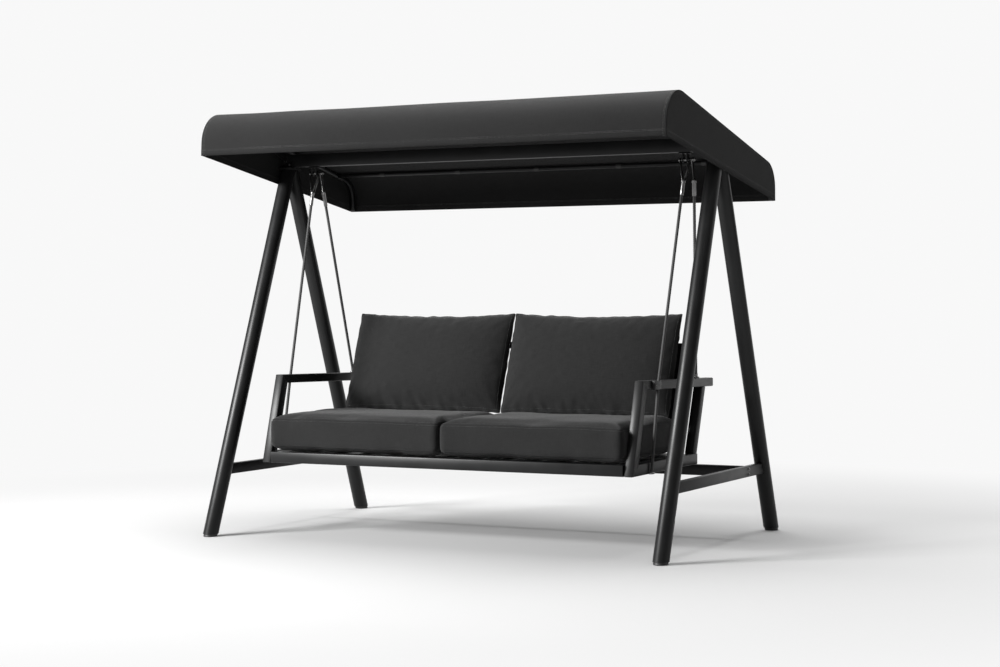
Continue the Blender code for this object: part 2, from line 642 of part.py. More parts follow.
def build_ropes(swing):
    for side_name, side in SIDES.items():
        front_pin = Vector((side * HANGER_X, 0, PIN_Z))
        at_arm, at_rail = mirrored(FRONT_ROPE_ARM, side), mirrored(FRONT_ROPE_END, side)
        start, way = build_front_hanger(f"hanger_yoke_front_{side_name}", front_pin, at_arm, swing)
        route = [start, at_arm, at_rail]
        add_object(f"rope_front_{side_name}", path_tube(route, ROPE_RADIUS, 10), "rope", swing)
        build_rope_clamp(side_name, side, at_arm, way, at_rail, swing)

        rear_pin = Vector((side * HANGER_X + REAR_LINK_SHIFT, 0, PIN_Z))
        rear_end = mirrored(REAR_ROPE_END, side)
        start, way = build_rear_hanger(f"hanger_strap_rear_{side_name}", rear_pin, rear_end, swing)
        add_object(f"rope_rear_{side_name}", path_tube([start, rear_end], ROPE_RADIUS, 10), "rope", swing)
        eye = turned(rear_end + way * (GAP + 0.0215), -way,
                     [(0.0, 0.0110), (0.0060, 0.0110), (0.0085, 0.0080), (0.0215, 0.0080)])
        level = plane_cut((0, ARMREST_REAR, armrest_top(ARMREST_REAR) + GAP), (0, ARMREST_SLOPE, 1))
        flange = bmesh.new()
        foot = Vector((rear_end.x, rear_end.y + way.y * 0.02, 0))
        bar(flange, foot, Z_AXIS, Y_AXIS, circle(0.0130, 16), level, lambda p, w: level(p, w) + 0.006)
        below = bmesh.new()
        bar(below, foot, Z_AXIS, Y_AXIS, circle(0.030, 16), lambda p, w: level(p, w) - 0.05, level)
        eye = joined(joined(eye, flange, "UNION"), below, "DIFFERENCE")
        add_object(f"rope_eye_rear_{side_name}", eye, "hardware_steel", swing)


def build_rope_clamp(side_name, side, at_arm, way, at_rail, swing):
    """A block on the armrest's outside that grips the front rope, and the lug that ends it below."""
    inside = side * (BENCH_HALF_WIDTH + GAP)
    outside = side * (BENCH_HALF_WIDTH + 0.0175)
    xs = sorted((inside, outside))
    top = armrest_top(at_arm.y) - 0.001
    clamp = block((xs[0], -0.306, top - ARMREST_THICKNESS + 0.002), (xs[1], -0.243, top), 0.002)
    passage = path_tube([at_arm - way * 0.08, at_arm, at_arm + (at_rail - at_arm).normalized() * 0.08],
                        ROPE_RADIUS + 0.0005, 16)
    clamp = joined(clamp, passage, "DIFFERENCE")
    add_object(f"rope_clamp_front_{side_name}", clamp, "black_plastic", swing)
    lug_top = at_rail.z - GAP
    lug = block((xs[0], at_rail.y - 0.014, RAIL_BOTTOM),
                (xs[1], at_rail.y + 0.014, lug_top - 0.0025), 0.002)
    add_object(f"rope_lug_front_{side_name}", lug, "hardware_steel", swing)


# ---------------------------------------------------------------- bench frame
def armrest_top(y):
    return ARMREST_TOP_FRONT - ARMREST_SLOPE * (y - BENCH_FRONT - 0.11)


def build_side_frames(swing):
    lean_way = Vector((0, sin(FRONT_POST_LEAN), cos(FRONT_POST_LEAN)))
    lean_normal = Vector((0, -cos(FRONT_POST_LEAN), sin(FRONT_POST_LEAN)))
    post_foot = Vector((0, FRONT_POST_FOOT_Y, RAIL_BOTTOM))
    post_middle = post_foot - lean_normal * FRONT_POST_DEPTH / 2
    post_back = post_foot - lean_normal * FRONT_POST_DEPTH
    arm_normal = Vector((0, ARMREST_SLOPE, 1)).normalized()
    arm_way = Vector((0, 1, -ARMREST_SLOPE)).normalized()
    arm_top = Vector((0, 0, armrest_top(0)))
    arm_under = arm_top - arm_normal * ARMREST_THICKNESS

    top_corner_out = line_meet(post_foot, lean_way, arm_top, arm_way)
    top_corner_in = line_meet(post_back, lean_way, arm_under, arm_way)
    low_corner_out = post_foot
    low_corner_in = line_meet(post_back, lean_way, Vector((0, 0, RAIL_TOP)), Y_AXIS)
    top_mitre = (top_corner_out - top_corner_in).cross(X_AXIS).normalized()
    low_mitre = (low_corner_in - low_corner_out).cross(X_AXIS).normalized()

    rear_way = Vector((0, sin(REAR_POST_LEAN), cos(REAR_POST_LEAN)))
    rear_normal = Vector((0, -cos(REAR_POST_LEAN), sin(REAR_POST_LEAN)))
    rear_middle = Vector((0, REAR_POST_FRONT_Y, RAIL_TOP)) - rear_normal * REAR_POST_DEPTH / 2

    for side_name, side in SIDES.items():
        x = side * SIDE_X
        shift = Vector((x, 0, 0))
        box_tube(f"front_post_{side_name}", post_middle + shift, lean_way, lean_normal,
                 SIDE_WIDTH, FRONT_POST_DEPTH,
                 plane_cut(low_corner_out + away(low_mitre, lean_way), low_mitre),
                 plane_cut(top_corner_out - away(top_mitre, lean_way), top_mitre), parent=swing)
        box_tube(f"side_rail_{side_name}", (x, 0, RAIL_BOTTOM + RAIL_HEIGHT / 2), Y_AXIS, Z_AXIS,
                 SIDE_WIDTH, RAIL_HEIGHT,
                 plane_cut(low_corner_out - away(low_mitre, lean_way), low_mitre),
                 plane_cut((0, SIDE_RAIL_REAR, 0), Y_AXIS), end_wall=0.003, parent=swing)
        box_tube(f"armrest_{side_name}", (arm_top + arm_under) / 2 + shift, arm_way, arm_normal,
                 SIDE_WIDTH, ARMREST_THICKNESS,
                 plane_cut(top_corner_out + away(top_mitre, lean_way), top_mitre),
                 plane_cut((0, ARMREST_REAR, 0), Y_AXIS), end_wall=0.003, parent=swing)
        box_tube(f"rear_post_{side_name}", rear_middle + shift, rear_way, rear_normal,
                 SIDE_WIDTH, REAR_POST_DEPTH,
                 plane_cut((0, 0, RAIL_TOP + GAP), Z_AXIS),
                 plane_cut(arm_under - arm_normal * GAP, arm_normal), parent=swing)


def line_meet(point, way, other_point, other_way):
    """Where two lines of one YZ plane meet."""
    ahead, other_ahead = point + way, other_point + other_way
    meet = crossing((point.y, point.z), (ahead.y, ahead.z),
                    (other_point.y, other_point.z), (other_ahead.y, other_ahead.z))
    return Vector((0, meet.x, meet.y))


def away(normal, way):
    """Half a gap along normal, on the side that way points to."""
    return normal * (GAP / 2) * (1 if normal.dot(way) > 0 else -1)


def build_rails(swing):
    length = FRONT_RAIL_HALF_LENGTH
    for name, front_y in (("front_rail", BENCH_FRONT), ("rear_rail", REAR_RAIL_FRONT)):
        box_tube(name, (0, front_y + RAIL_DEPTH / 2, RAIL_BOTTOM + RAIL_HEIGHT / 2), X_AXIS, Z_AXIS,
                 RAIL_DEPTH, RAIL_HEIGHT,
                 plane_cut((-length, 0, 0), X_AXIS), plane_cut((length, 0, 0), X_AXIS), parent=swing)


def slatted_panel(name, half_width, edge, v_low, v_high, slats, thickness, to_world, finish, swing):
    """A flat panel with slots: cells of a grid, where every second column is open between the two edges."""
    count = 2 * slats - 1
    slat = 2 * half_width / (slats + (slats - 1) * 1.6)
    u_lines = [-half_width]
    for column in range(count):
        u_lines.append(u_lines[-1] + (slat if column % 2 == 0 else slat * 1.6))
    v_lines = [v_low, v_low + edge, v_high - edge, v_high]
    mesh_data = bmesh.new()
    grid = {(i, j, k): mesh_data.verts.new(to_world(u, v, n))
            for i, u in enumerate(u_lines) for j, v in enumerate(v_lines)
            for k, n in enumerate((0.0, -thickness))}

    def solid(i, j):
        return 0 <= i < count and 0 <= j < 3 and not (i % 2 == 1 and j == 1)

    for i in range(count):
        for j in range(3):
            if not solid(i, j):
                continue
            for k in (0, 1):
                corners = ((i, j), (i + 1, j), (i + 1, j + 1), (i, j + 1))
                mesh_data.faces.new([grid[a, b, k] for a, b in corners])
            borders = (((i - 1, j), (i, j), (i, j + 1)), ((i + 1, j), (i + 1, j), (i + 1, j + 1)),
                       ((i, j - 1), (i, j), (i + 1, j)), ((i, j + 1), (i, j + 1), (i + 1, j + 1)))
            for neighbour, a, b in borders:
                if not solid(*neighbour):
                    mesh_data.faces.new([grid[(*a, 0)], grid[(*b, 0)], grid[(*b, 1)], grid[(*a, 1)]])
    add_object(name, mesh_data, finish, swing)


def on_back(x, up, out):
    """A point of the leaning back: up along it from the rear rail's top, out in front of its panel."""
    return Vector((x, BACK_FOOT_Y + up * sin(BACK_LEAN) - out * cos(BACK_LEAN),
                   RAIL_TOP + up * cos(BACK_LEAN) + out * sin(BACK_LEAN)))


def build_seat_and_back(swing):
    slatted_panel("seat_deck", FRONT_RAIL_HALF_LENGTH - 0.001, 0.030,
                  BENCH_FRONT + RAIL_DEPTH + GAP, REAR_RAIL_FRONT - GAP, DECK_SLATS, DECK_THICKNESS,
                  lambda u, v, n: Vector((u, v, DECK_TOP + n)), "powder_coat", swing)

    behind = -BACK_PANEL_THICKNESS - GAP - BACK_HOOP_RADIUS
    half, length, corner = BACK_HOOP_HALF_WIDTH, BACK_HOOP_LENGTH, BACK_HOOP_CORNER
    foot_up = (GAP + BACK_HOOP_RADIUS * sin(BACK_LEAN) + abs(behind) * sin(BACK_LEAN)) / cos(BACK_LEAN)
    run = ([(-half, foot_up)]
           + fillet((-half, 0), (-half, length), (half, length), corner)
           + fillet((-half, length), (half, length), (half, 0), corner)
           + [(half, foot_up)])
    add_object("back_hoop", path_tube([on_back(x, up, behind) for x, up in run], BACK_HOOP_RADIUS, 14,
                                      BACK_HOOP_RADIUS - WALL), "powder_coat", swing)
    slatted_panel("back_panel", half + 0.010, 0.030, 0.030, length + 0.010, BACK_SLATS,
                  BACK_PANEL_THICKNESS, on_back, "powder_coat", swing)


def build_cushions(swing):
    for side_name, side in SIDES.items():
        xs = sorted((side * CUSHION_SPLIT, side * SEAT_CUSHION_X))
        (front, rear), (bottom, top) = SEAT_CUSHION_Y, SEAT_CUSHION_Z
        seat = block((xs[0], front, bottom), (xs[1], rear, top), SEAT_CUSHION_ROUND)
        add_object(f"seat_cushion_{side_name}", seat, "cushion_cloth", swing)
        xs = sorted((side * CUSHION_SPLIT, side * BACK_CUSHION_X))
        rest_z = SEAT_CUSHION_Z[1] + 0.001
        back_low, back_high = BACK_CUSHION_OUT
        low = (rest_z - RAIL_TOP - back_low * sin(BACK_LEAN)) / cos(BACK_LEAN)
        back = block((xs[0], low, back_low), (xs[1], BACK_CUSHION_UP, back_high), BACK_CUSHION_ROUND)
        for vertex in back.verts:
            x, up, out = vertex.co
            below = (BACK_CUSHION_UP - up) / (BACK_CUSHION_UP - low)
            vertex.co = on_back(x, up - below * (out - back_low) * tan(BACK_LEAN), out)
        add_object(f"back_cushion_{side_name}", back, "cushion_cloth", swing)


def add_axis(name, location):
    """An empty on a joint's axis; what turns about it is parented to it."""
    empty = bpy.data.objects.new(name, None)
    empty.location = location
    bpy.context.collection.objects.link(empty)
    return empty


for leftover in list(bpy.data.objects):
    bpy.data.objects.remove(leftover)
MATERIALS = make_materials()

build_legs()
build_crossbars()
build_beam()
build_hanger_brackets()

tilt_axis = add_axis("canopy_tilt_axis", (0, 0, TILT_PIVOT_Z))
build_canopy(tilt_axis)
for knob_side, knob_sign in SIDES.items():
    knob_axis = add_axis(f"tilt_knob_axis_{knob_side}", (knob_sign * ARM_X[1], 0, TILT_PIVOT_Z))
    build_tilt_knob(knob_side, knob_sign, knob_axis)

swing_axis = add_axis("swing_axis", (0, 0, PIN_Z))
build_ropes(swing_axis)
build_side_frames(swing_axis)
build_rails(swing_axis)
build_seat_and_back(swing_axis)
build_cushions(swing_axis)
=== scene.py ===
import json
from math import ceil, cos, pi, radians, sin, tan

import bmesh
import bpy
import numpy as np
from mathutils import Matrix, Vector, noise


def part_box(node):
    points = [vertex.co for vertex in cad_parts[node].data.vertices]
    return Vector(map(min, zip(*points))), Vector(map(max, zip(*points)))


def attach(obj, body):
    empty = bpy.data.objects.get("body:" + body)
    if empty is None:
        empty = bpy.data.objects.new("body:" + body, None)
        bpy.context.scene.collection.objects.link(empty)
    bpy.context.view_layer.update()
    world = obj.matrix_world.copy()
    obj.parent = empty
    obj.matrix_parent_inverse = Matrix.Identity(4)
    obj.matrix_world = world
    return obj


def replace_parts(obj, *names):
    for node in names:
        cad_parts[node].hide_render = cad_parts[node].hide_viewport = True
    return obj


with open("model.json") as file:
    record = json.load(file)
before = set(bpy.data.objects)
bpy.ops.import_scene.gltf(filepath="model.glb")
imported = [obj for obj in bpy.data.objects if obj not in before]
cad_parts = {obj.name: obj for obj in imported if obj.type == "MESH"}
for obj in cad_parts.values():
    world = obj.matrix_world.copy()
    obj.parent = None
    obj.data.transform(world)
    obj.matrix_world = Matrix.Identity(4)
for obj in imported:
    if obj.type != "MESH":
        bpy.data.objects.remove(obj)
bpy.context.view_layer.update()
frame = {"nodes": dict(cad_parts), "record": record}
NODES = frame["nodes"]
X_AXIS, Y_AXIS, Z_AXIS = Vector((1, 0, 0)), Vector((0, 1, 0)), Vector((0, 0, 1))
SIDES = {"left": -1, "right": 1}


# Materials
class Shader:
    """A node material whose nodes are added and linked in one call each."""

    def __init__(self, name):
        self.material = bpy.data.materials.new(name)
        self.material.use_nodes = True
        self.tree = self.material.node_tree
        self.surface = self.tree.nodes["Principled BSDF"]

    def add(self, kind, sockets=None, **settings):
        """A new node: settings are its properties, sockets its inputs as values or other sockets."""
        node = self.tree.nodes.new("ShaderNode" + kind)
        for key, value in settings.items():
            setattr(node, key, value)
        self.feed(node, sockets or {})
        return node

    def feed(self, node, sockets):
        for key, value in sockets.items():
            if isinstance(value, bpy.types.NodeSocket):
                self.tree.links.new(value, node.inputs[key])
            else:
                node.inputs[key].default_value = value

    def shade(self, sockets):
        """Feed the surface shader and hand over the finished material."""
        self.feed(self.surface, sockets)
        return self.material

    def scaled(self, place, scale):
        return self.add("Mapping", {"Vector": place, "Scale": scale}).outputs["Vector"]

    def object_place(self, scale=(1, 1, 1)):
        """Place on the piece, in metres."""
        return self.scaled(self.add("TexCoord").outputs["Object"], scale)

    def cloth_place(self, scale=(1, 1, 1)):
        """Place on the flat cloth along its two thread directions, in metres."""
        return self.scaled(self.add("UVMap", uv_map="cloth").outputs["UV"], scale)

    def noise(self, place, scale, detail=4.0, roughness=0.55):
        sockets = {"Vector": place, "Scale": scale, "Detail": detail, "Roughness": roughness}
        return self.add("TexNoise", sockets).outputs["Fac"]

    def math(self, operation, first, second=0.0):
        return self.add("Math", {0: first, 1: second}, operation=operation).outputs["Value"]

    def times(self, first, second):
        return self.math("MULTIPLY", first, second)

    def plus(self, first, second):
        return self.math("ADD", first, second)

    def spread(self, value, low, high, from_low=0.0, from_high=1.0):
        """A value between from_low and from_high, moved and clamped to between low and high."""
        node = self.add("MapRange", {"Value": value, "From Min": from_low, "From Max": from_high,
                                     "To Min": low, "To Max": high})
        return node.outputs["Result"]

    def mix(self, share, first, second):
        return self.add("Mix", {0: share, 6: first, 7: second}, data_type="RGBA").outputs[2]

    def worn_edges(self, radius):
        """1 at convex edges, 0 on flat ground: how far a rounded normal leans from the true one."""
        rounded = self.add("Bevel", {"Radius": radius}, samples=4).outputs["Normal"]
        true = self.add("NewGeometry").outputs["Normal"]
        lean = self.add("VectorMath", {0: rounded, 1: true}, operation="DOT_PRODUCT").outputs["Value"]
        return self.spread(lean, 1.0, 0.0, 0.72, 0.98)

    def bump(self, height, depth, strength, under=None):
        sockets = {"Height": height, "Distance": depth, "Strength": strength}
        if under is not None:
            sockets["Normal"] = under
        return self.add("Bump", sockets).outputs["Normal"]


def grey(value, warm=0.0):
    return (value * (1 + warm), value, value * (1 - warm), 1.0)


def powder_coat_material(name, colour, roughness):
    """Matt black powder coat: fine orange peel, faint dust, and edges rubbed a little lighter."""
    s = Shader(name)
    place = s.object_place()
    cloudy, grain = s.noise(place, 7.0), s.noise(place, 900.0, 2.0)
    edge = s.times(s.worn_edges(0.0022), s.spread(s.noise(place, 60.0), 0.1, 1.0, 0.35, 0.65))
    dark, light = grey(colour * 0.85, -0.02), grey(colour * 1.15, -0.02)
    base = s.mix(s.spread(cloudy, 0.0, 1.0, 0.3, 0.7), dark, light)
    base = s.mix(s.times(edge, 0.35), base, grey(colour * 3.2, -0.01))
    rough = s.plus(s.spread(cloudy, -0.04, 0.05, 0.3, 0.7),
                   s.spread(grain, roughness - 0.05, roughness + 0.05))
    peel = s.bump(s.noise(place, 420.0, 1.5), 0.00022, 0.35)
    return s.shade({"Base Color": base, "Roughness": rough, "Specular IOR Level": 0.22,
                    "Normal": s.bump(grain, 0.0001, 0.25, peel)})


def steel_material(name):
    """Satin stainless steel: fine turning marks and darker patches."""
    s = Shader(name)
    brushed = s.noise(s.object_place((1.0, 1.0, 14.0)), 260.0, 5.0)
    stain = s.noise(s.object_place(), 45.0)
    base = s.mix(s.spread(stain, 0.0, 1.0, 0.35, 0.7), grey(0.24), grey(0.13, 0.02))
    rough = s.plus(s.spread(brushed, 0.22, 0.38), s.spread(stain, -0.03, 0.06))
    return s.shade({"Base Color": base, "Metallic": 1.0, "Roughness": rough,
                    "Normal": s.bump(brushed, 0.00008, 0.5)})


def plastic_material(name, colour, roughness=0.48):
    """Moulded black plastic with a spark-eroded grain and scuffed edges."""
    s = Shader(name)
    place = s.object_place()
    grain = s.add("TexVoronoi", {"Vector": place, "Scale": 1300.0}).outputs["Distance"]
    scuff = s.noise(place, 35.0, 6.0)
    base = s.mix(s.spread(scuff, 0.0, 1.0, 0.45, 0.8), grey(colour), grey(colour * 1.6))
    base = s.mix(s.times(s.worn_edges(0.0012), 0.3), base, grey(colour * 4.0))
    return s.shade({"Base Color": base, "Roughness": s.spread(scuff, roughness, roughness + 0.14, 0.4, 0.8),
                    "Normal": s.bump(grain, 0.00012, 0.4)})


def weave_heights(s, pitch, basket):
    """Height of a woven ground from the cloth's own coordinates: warp and weft passing over each other."""
    parts = s.add("SeparateXYZ", {"Vector": s.cloth_place()})
    threads, overs = [], []
    for axis in ("X", "Y"):
        angle = s.times(parts.outputs[axis], pi / pitch)
        threads.append(s.math("ABSOLUTE", s.math("SINE", angle)))
        overs.append(s.math("SINE", s.times(angle, 1.0 / basket)))
    over = s.spread(s.times(*overs), 0.0, 1.0, -0.15, 0.15)
    warp, weft = threads
    return s.plus(s.times(over, warp), s.times(s.math("SUBTRACT", 1.0, over), weft))


def woven_material(name, dark, light, pitch, basket, slub, depth, sheen):
    """Woven polyester: threads over and under, slubs along both thread directions, and a soft sheen."""
    s = Shader(name)
    weave = weave_heights(s, pitch, basket)
    along_weft = s.noise(s.cloth_place((22.0, 420.0, 1.0)), 1.0, 3.0)
    along_warp = s.noise(s.cloth_place((420.0, 22.0, 1.0)), 1.0, 3.0)
    streak = s.times(s.plus(along_weft, along_warp), 0.5)
    melange = s.noise(s.cloth_place(), 260.0, 6.0, 0.7)
    faded = s.noise(s.object_place(), 2.2, 3.0)
    tone = s.plus(s.times(s.spread(streak, 0.0, 1.0, 0.36, 0.64), slub),
                  s.times(s.spread(melange, 0.0, 1.0, 0.3, 0.7), 0.7 - slub))
    # painted shade: the thread crowns are painted lighter and the hollows between threads darker
    tone = s.plus(tone, s.times(weave, 0.3))
    base = s.mix(s.spread(faded, 0.0, 0.22, 0.35, 0.7), s.mix(tone, dark, light), light)
    uneven = s.bump(streak, depth * 1.5, 0.6, s.bump(weave, depth, 0.8))
    return s.shade({"Base Color": base, "Roughness": s.spread(weave, 0.96, 0.84), "Specular IOR Level": 0.08,
                    "Sheen Weight": sheen, "Sheen Roughness": 0.5, "Sheen Tint": grey(0.9),
                    "Normal": uneven})


def rope_material(name):
    """Synthetic rope: bright and dark filaments along its strands."""
    s = Shader(name)
    fibre = s.noise(s.object_place((1.0, 1.0, 0.12)), 1500.0, 4.0, 0.7)
    dirt = s.noise(s.object_place(), 30.0)
    base = s.mix(s.spread(fibre, 0.0, 1.0, 0.35, 0.65), grey(0.010), grey(0.040))
    base = s.mix(s.spread(dirt, 0.0, 0.35, 0.4, 0.7), base, grey(0.02, 0.03))
    return s.shade({"Base Color": base, "Roughness": s.spread(fibre, 0.6, 0.85), "Sheen Weight": 0.15,
                    "Normal": s.bump(fibre, 0.0003, 0.6)})


def thread_material(name):
    """Twisted sewing thread, a little lighter than the cloth."""
    s = Shader(name)
    twist = s.noise(s.object_place(), 2400.0, 2.0)
    return s.shade({"Base Color": s.mix(twist, grey(0.02), grey(0.05)), "Roughness": 0.7,
                    "Sheen Weight": 0.3, "Normal": s.bump(twist, 0.0002, 0.5)})


MATERIALS = {
    "powder_coat": powder_coat_material("powder_coat_black", 0.007, 0.40),
    "slatted_panel": powder_coat_material("powder_coat_panel", 0.006, 0.46),
    "hardware_steel": steel_material("satin_steel"),
    "rope": rope_material("dark_rope"),
    "black_plastic": plastic_material("moulded_plastic", 0.008),
    "canopy_cloth": woven_material("canopy_weave", grey(0.006), grey(0.016), pitch=0.0016, basket=1,
                                   slub=0.35, depth=0.00025, sheen=0.02),
    "cushion_cloth": woven_material("cushion_weave", grey(0.004), grey(0.018), pitch=0.0030, basket=2,
                                    slub=0.45, depth=0.0005, sheen=0.11),
    "thread": thread_material("sewing_thread"),
}


# Mesh helpers
def new_piece(name, points, faces, material, body, smooth_angle=40.0, uvs=None, slot=None):
    """A mesh piece in the row frame that rides on a CAD body. uvs, if given, has one list per face.

    slot is not used."""
    mesh = bpy.data.meshes.new(name)
    mesh.from_pydata([tuple(p) for p in points], [], faces)
    if uvs is not None:
        layer = mesh.uv_layers.new(name="cloth")
        layer.data.foreach_set("uv", np.array([c for face in uvs for uv in face for c in uv], np.float32))
    mesh.shade_smooth()
    if smooth_angle is not None:
        mesh.set_sharp_from_angle(angle=radians(smooth_angle))
    mesh.materials.append(MATERIALS[material])
    piece = bpy.data.objects.new(name, mesh)
    bpy.context.scene.collection.objects.link(piece)
    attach(piece, body)
    slot or material
    return piece


def outward(piece):
    """Turn a closed mesh's faces outward."""
    mesh_data = bmesh.new()
    mesh_data.from_mesh(piece.data)
    bmesh.ops.recalc_face_normals(mesh_data, faces=mesh_data.faces)
    mesh_data.to_mesh(piece.data)
    mesh_data.free()
    return piece


def set_points(piece, points):
    piece.data.vertices.foreach_set("co", np.asarray(points, np.float32).ravel())
    piece.data.update()


def point_normals(piece):
    return [v.normal.copy() for v in piece.data.vertices]


def add_ring(points, rings, ring):
    """Add a ring's points to the points, and their numbers to the rings."""
    rings.append(range(len(points), len(points) + len(ring)))
    points += ring


def strip_faces(rings, closed_rings=True, closed_run=False):
    """Faces of a skin over rings of point numbers. A closed ring at an open run's end gets a cap."""
    faces = []
    count = len(rings[0])
    pairs = list(zip(rings, rings[1:]))
    if closed_run:
        pairs.append((rings[-1], rings[0]))
    for a, b in pairs:
        for i in range(count if closed_rings else count - 1):
            j = (i + 1) % count
            faces.append((a[i], a[j], b[j], b[i]))
    if closed_rings and not closed_run:
        faces += [tuple(reversed(rings[0])), tuple(rings[-1])]
    return faces


def even_angles(count):
    return [2 * pi * i / count for i in range(count)]


def tube_data(path, radius, sides=8, closed=False, profile=None):
    """Points and faces of a tube along a path. profile(share of the run, angle) scales its radius."""
    count = len(path)
    points, rings = [], []
    side = None
    for i, centre in enumerate(path):
        before = path[i - 1] if (i or closed) else centre
        after = path[(i + 1) % count] if (i < count - 1 or closed) else centre
        way = (after - before).normalized()
        if side is None:
            side = way.orthogonal().normalized()
        side = (side - way * side.dot(way)).normalized()
        other = way.cross(side)
        ring = []
        for angle in even_angles(sides):
            size = radius * (profile(i / (count - 1), angle) if profile else 1.0)
            ring.append(centre + side * cos(angle) * size + other * sin(angle) * size)
        add_ring(points, rings, ring)
    return points, strip_faces(rings, closed_run=closed)


TURNED_SIDES = 24


def turned_data(base, way, profile, hexagon=()):
    """Points and faces of a turned shape; rings whose number is in hexagon are six-sided."""
    base, way = Vector(base), Vector(way).normalized()
    side = way.orthogonal().normalized()
    other = way.cross(side)
    points, rings = [], []
    for number, (along, radius) in enumerate(profile):
        ring = []
        for angle in even_angles(TURNED_SIDES):
            size = radius
            if number in hexagon:
                size = radius * cos(pi / 6) / cos((angle % (pi / 3)) - pi / 6)
            ring.append(base + way * along + side * cos(angle) * size + other * sin(angle) * size)
        add_ring(points, rings, ring)
    return points, strip_faces(rings)


class Gathered:
    """Several small shapes collected into one mesh piece."""

    def __init__(self):
        self.points, self.faces = [], []

    def take(self, data):
        start = len(self.points)
        self.points += data[0]
        self.faces += [tuple(i + start for i in face) for face in data[1]]

    def piece(self, name, *settings, **more):
        return new_piece(name, self.points, self.faces, *settings, **more)


def run_lengths(path):
    """Distance along a path at each of its points."""
    lengths = [0.0]
    for a, b in zip(path, path[1:]):
        lengths.append(lengths[-1] + (b - a).length)
    return lengths


def columns_at(places, lengths, vectors):
    """Vectors read off between the points of a path, at given distances along it."""
    return [Vector(v) for v in zip(*(np.interp(places, lengths, [v[k] for v in vectors]) for k in range(3)))]


def resampled(path, step):
    """Points at an even step along a path."""
    lengths = run_lengths(path)
    count = max(2, int(ceil(lengths[-1] / step)) + 1)
    return columns_at(np.linspace(0.0, lengths[-1], count), lengths, path)


THREAD_THICKNESS = 0.0012
THREAD_SINK = 0.0004                    # how far a stitch's ends go into the cloth
CANOPY_STITCH = (0.0042, 0.0020)        # length of a stitch and of the gap after it
CUSHION_STITCH = (0.0040, 0.0022)
STITCH_FACES = [(0, 1, 2), (0, 2, 3), (0, 3, 4), (0, 4, 1), (5, 2, 1), (5, 3, 2), (5, 4, 3), (5, 1, 4)]


def stitch_row(gathered, path, normals, stitch):
    """A row of sewn stitches lying on a surface, along a path with one normal per point."""
    length, gap = stitch
    lengths = run_lengths(path)
    starts = np.arange(int(lengths[-1] / (length + gap))) * (length + gap)
    ends = starts + length
    spots = zip(columns_at(starts, lengths, path), columns_at(ends, lengths, path))
    upward = zip(columns_at(starts, lengths, normals), columns_at(ends, lengths, normals))
    for (a, b), (n1, n2) in zip(spots, upward):
        normal = (n1.normalized() + n2.normalized()).normalized()
        along = (b - a).normalized()
        across = along.cross(normal) * THREAD_THICKNESS / 2
        middle, slant = (a + b) / 2, along * length * 0.2
        rise, sink = normal * THREAD_THICKNESS * 0.55, normal * THREAD_SINK
        shape = [a - sink, middle + across - slant, middle + rise, middle - across + slant,
                 middle - sink, b - sink]
        gathered.take((shape, STITCH_FACES))


def stitches(name, lines, stitch, body, slot):
    """A piece of sewn rows, each line a path and its normals."""
    rows = Gathered()
    for path, normals in lines:
        stitch_row(rows, path, normals, stitch)
    return rows.piece(name, "thread", body, None, slot=slot)


def face_x(low, high, side):
    """Where a box ends in x on one side."""
    return high.x if side > 0 else low.x


# The frame's own pieces
SHARP_ANGLE = radians(38.0)
EDGE_SOFTNESS = 0.0005


def node_group(name):
    """An empty geometry node group with its input and output nodes."""
    tree = bpy.data.node_groups.new(name, "GeometryNodeTree")
    for in_out in ("INPUT", "OUTPUT"):
        tree.interface.new_socket("Geometry", in_out=in_out, socket_type="NodeSocketGeometry")
    return tree, tree.nodes.new("NodeGroupInput"), tree.nodes.new("NodeGroupOutput")


def smoothing_group():
    """Geometry nodes that shade smooth wherever two faces meet at less than the sharp angle."""
    tree, source, result = node_group("smooth_by_angle")
    add, link = tree.nodes.new, tree.links.new
    all_faces, sharp = add("GeometryNodeSetShadeSmooth"), add("GeometryNodeSetShadeSmooth")
    sharp.domain = "EDGE"
    sharp.inputs["Shade Smooth"].default_value = False
    edge_angle, compare = add("GeometryNodeInputMeshEdgeAngle"), add("FunctionNodeCompare")
    compare.operation = "GREATER_THAN"
    compare.inputs[1].default_value = SHARP_ANGLE
    link(source.outputs[0], all_faces.inputs["Geometry"])
    link(all_faces.outputs["Geometry"], sharp.inputs["Geometry"])
    link(edge_angle.outputs["Unsigned Angle"], compare.inputs[0])
    link(compare.outputs["Result"], sharp.inputs["Selection"])
    link(sharp.outputs["Geometry"], result.inputs[0])
    return tree


def welding_group():
    """Geometry nodes that join the split corners of an imported mesh and drop its stored normals."""
    tree, source, result = node_group("weld_corners")
    merge = tree.nodes.new("GeometryNodeMergeByDistance")
    drop = tree.nodes.new("GeometryNodeRemoveAttribute")
    merge.inputs["Distance"].default_value = 0.00002
    drop.inputs["Name"].default_value = "custom_normal"
    tree.links.new(source.outputs[0], merge.inputs["Geometry"])
    tree.links.new(merge.outputs["Geometry"], drop.inputs["Geometry"])
    tree.links.new(drop.outputs["Geometry"], result.inputs[0])
    return tree


def dress_cad_nodes():
    """Softened edges, smooth shading and a detailed material for every carried-over CAD node."""
    slots = {row["node"]: row["material_slot"] for row in frame["record"]["subparts"]}
    weld, smooth = welding_group(), smoothing_group()
    for name, node in NODES.items():
        for slot in node.material_slots:
            slot.material = MATERIALS[slots[name]]
        node.modifiers.new("weld", "NODES").node_group = weld
        flat = node.modifiers.new("flat_faces", "DECIMATE")
        flat.decimate_type = "DISSOLVE"
        flat.angle_limit = radians(0.4)
        bevel = node.modifiers.new("soft_edges", "BEVEL")
        bevel.width = EDGE_SOFTNESS
        bevel.segments = 2
        bevel.limit_method = "ANGLE"
        bevel.angle_limit = radians(50.0)
        node.modifiers.new("smooth", "NODES").node_group = smooth


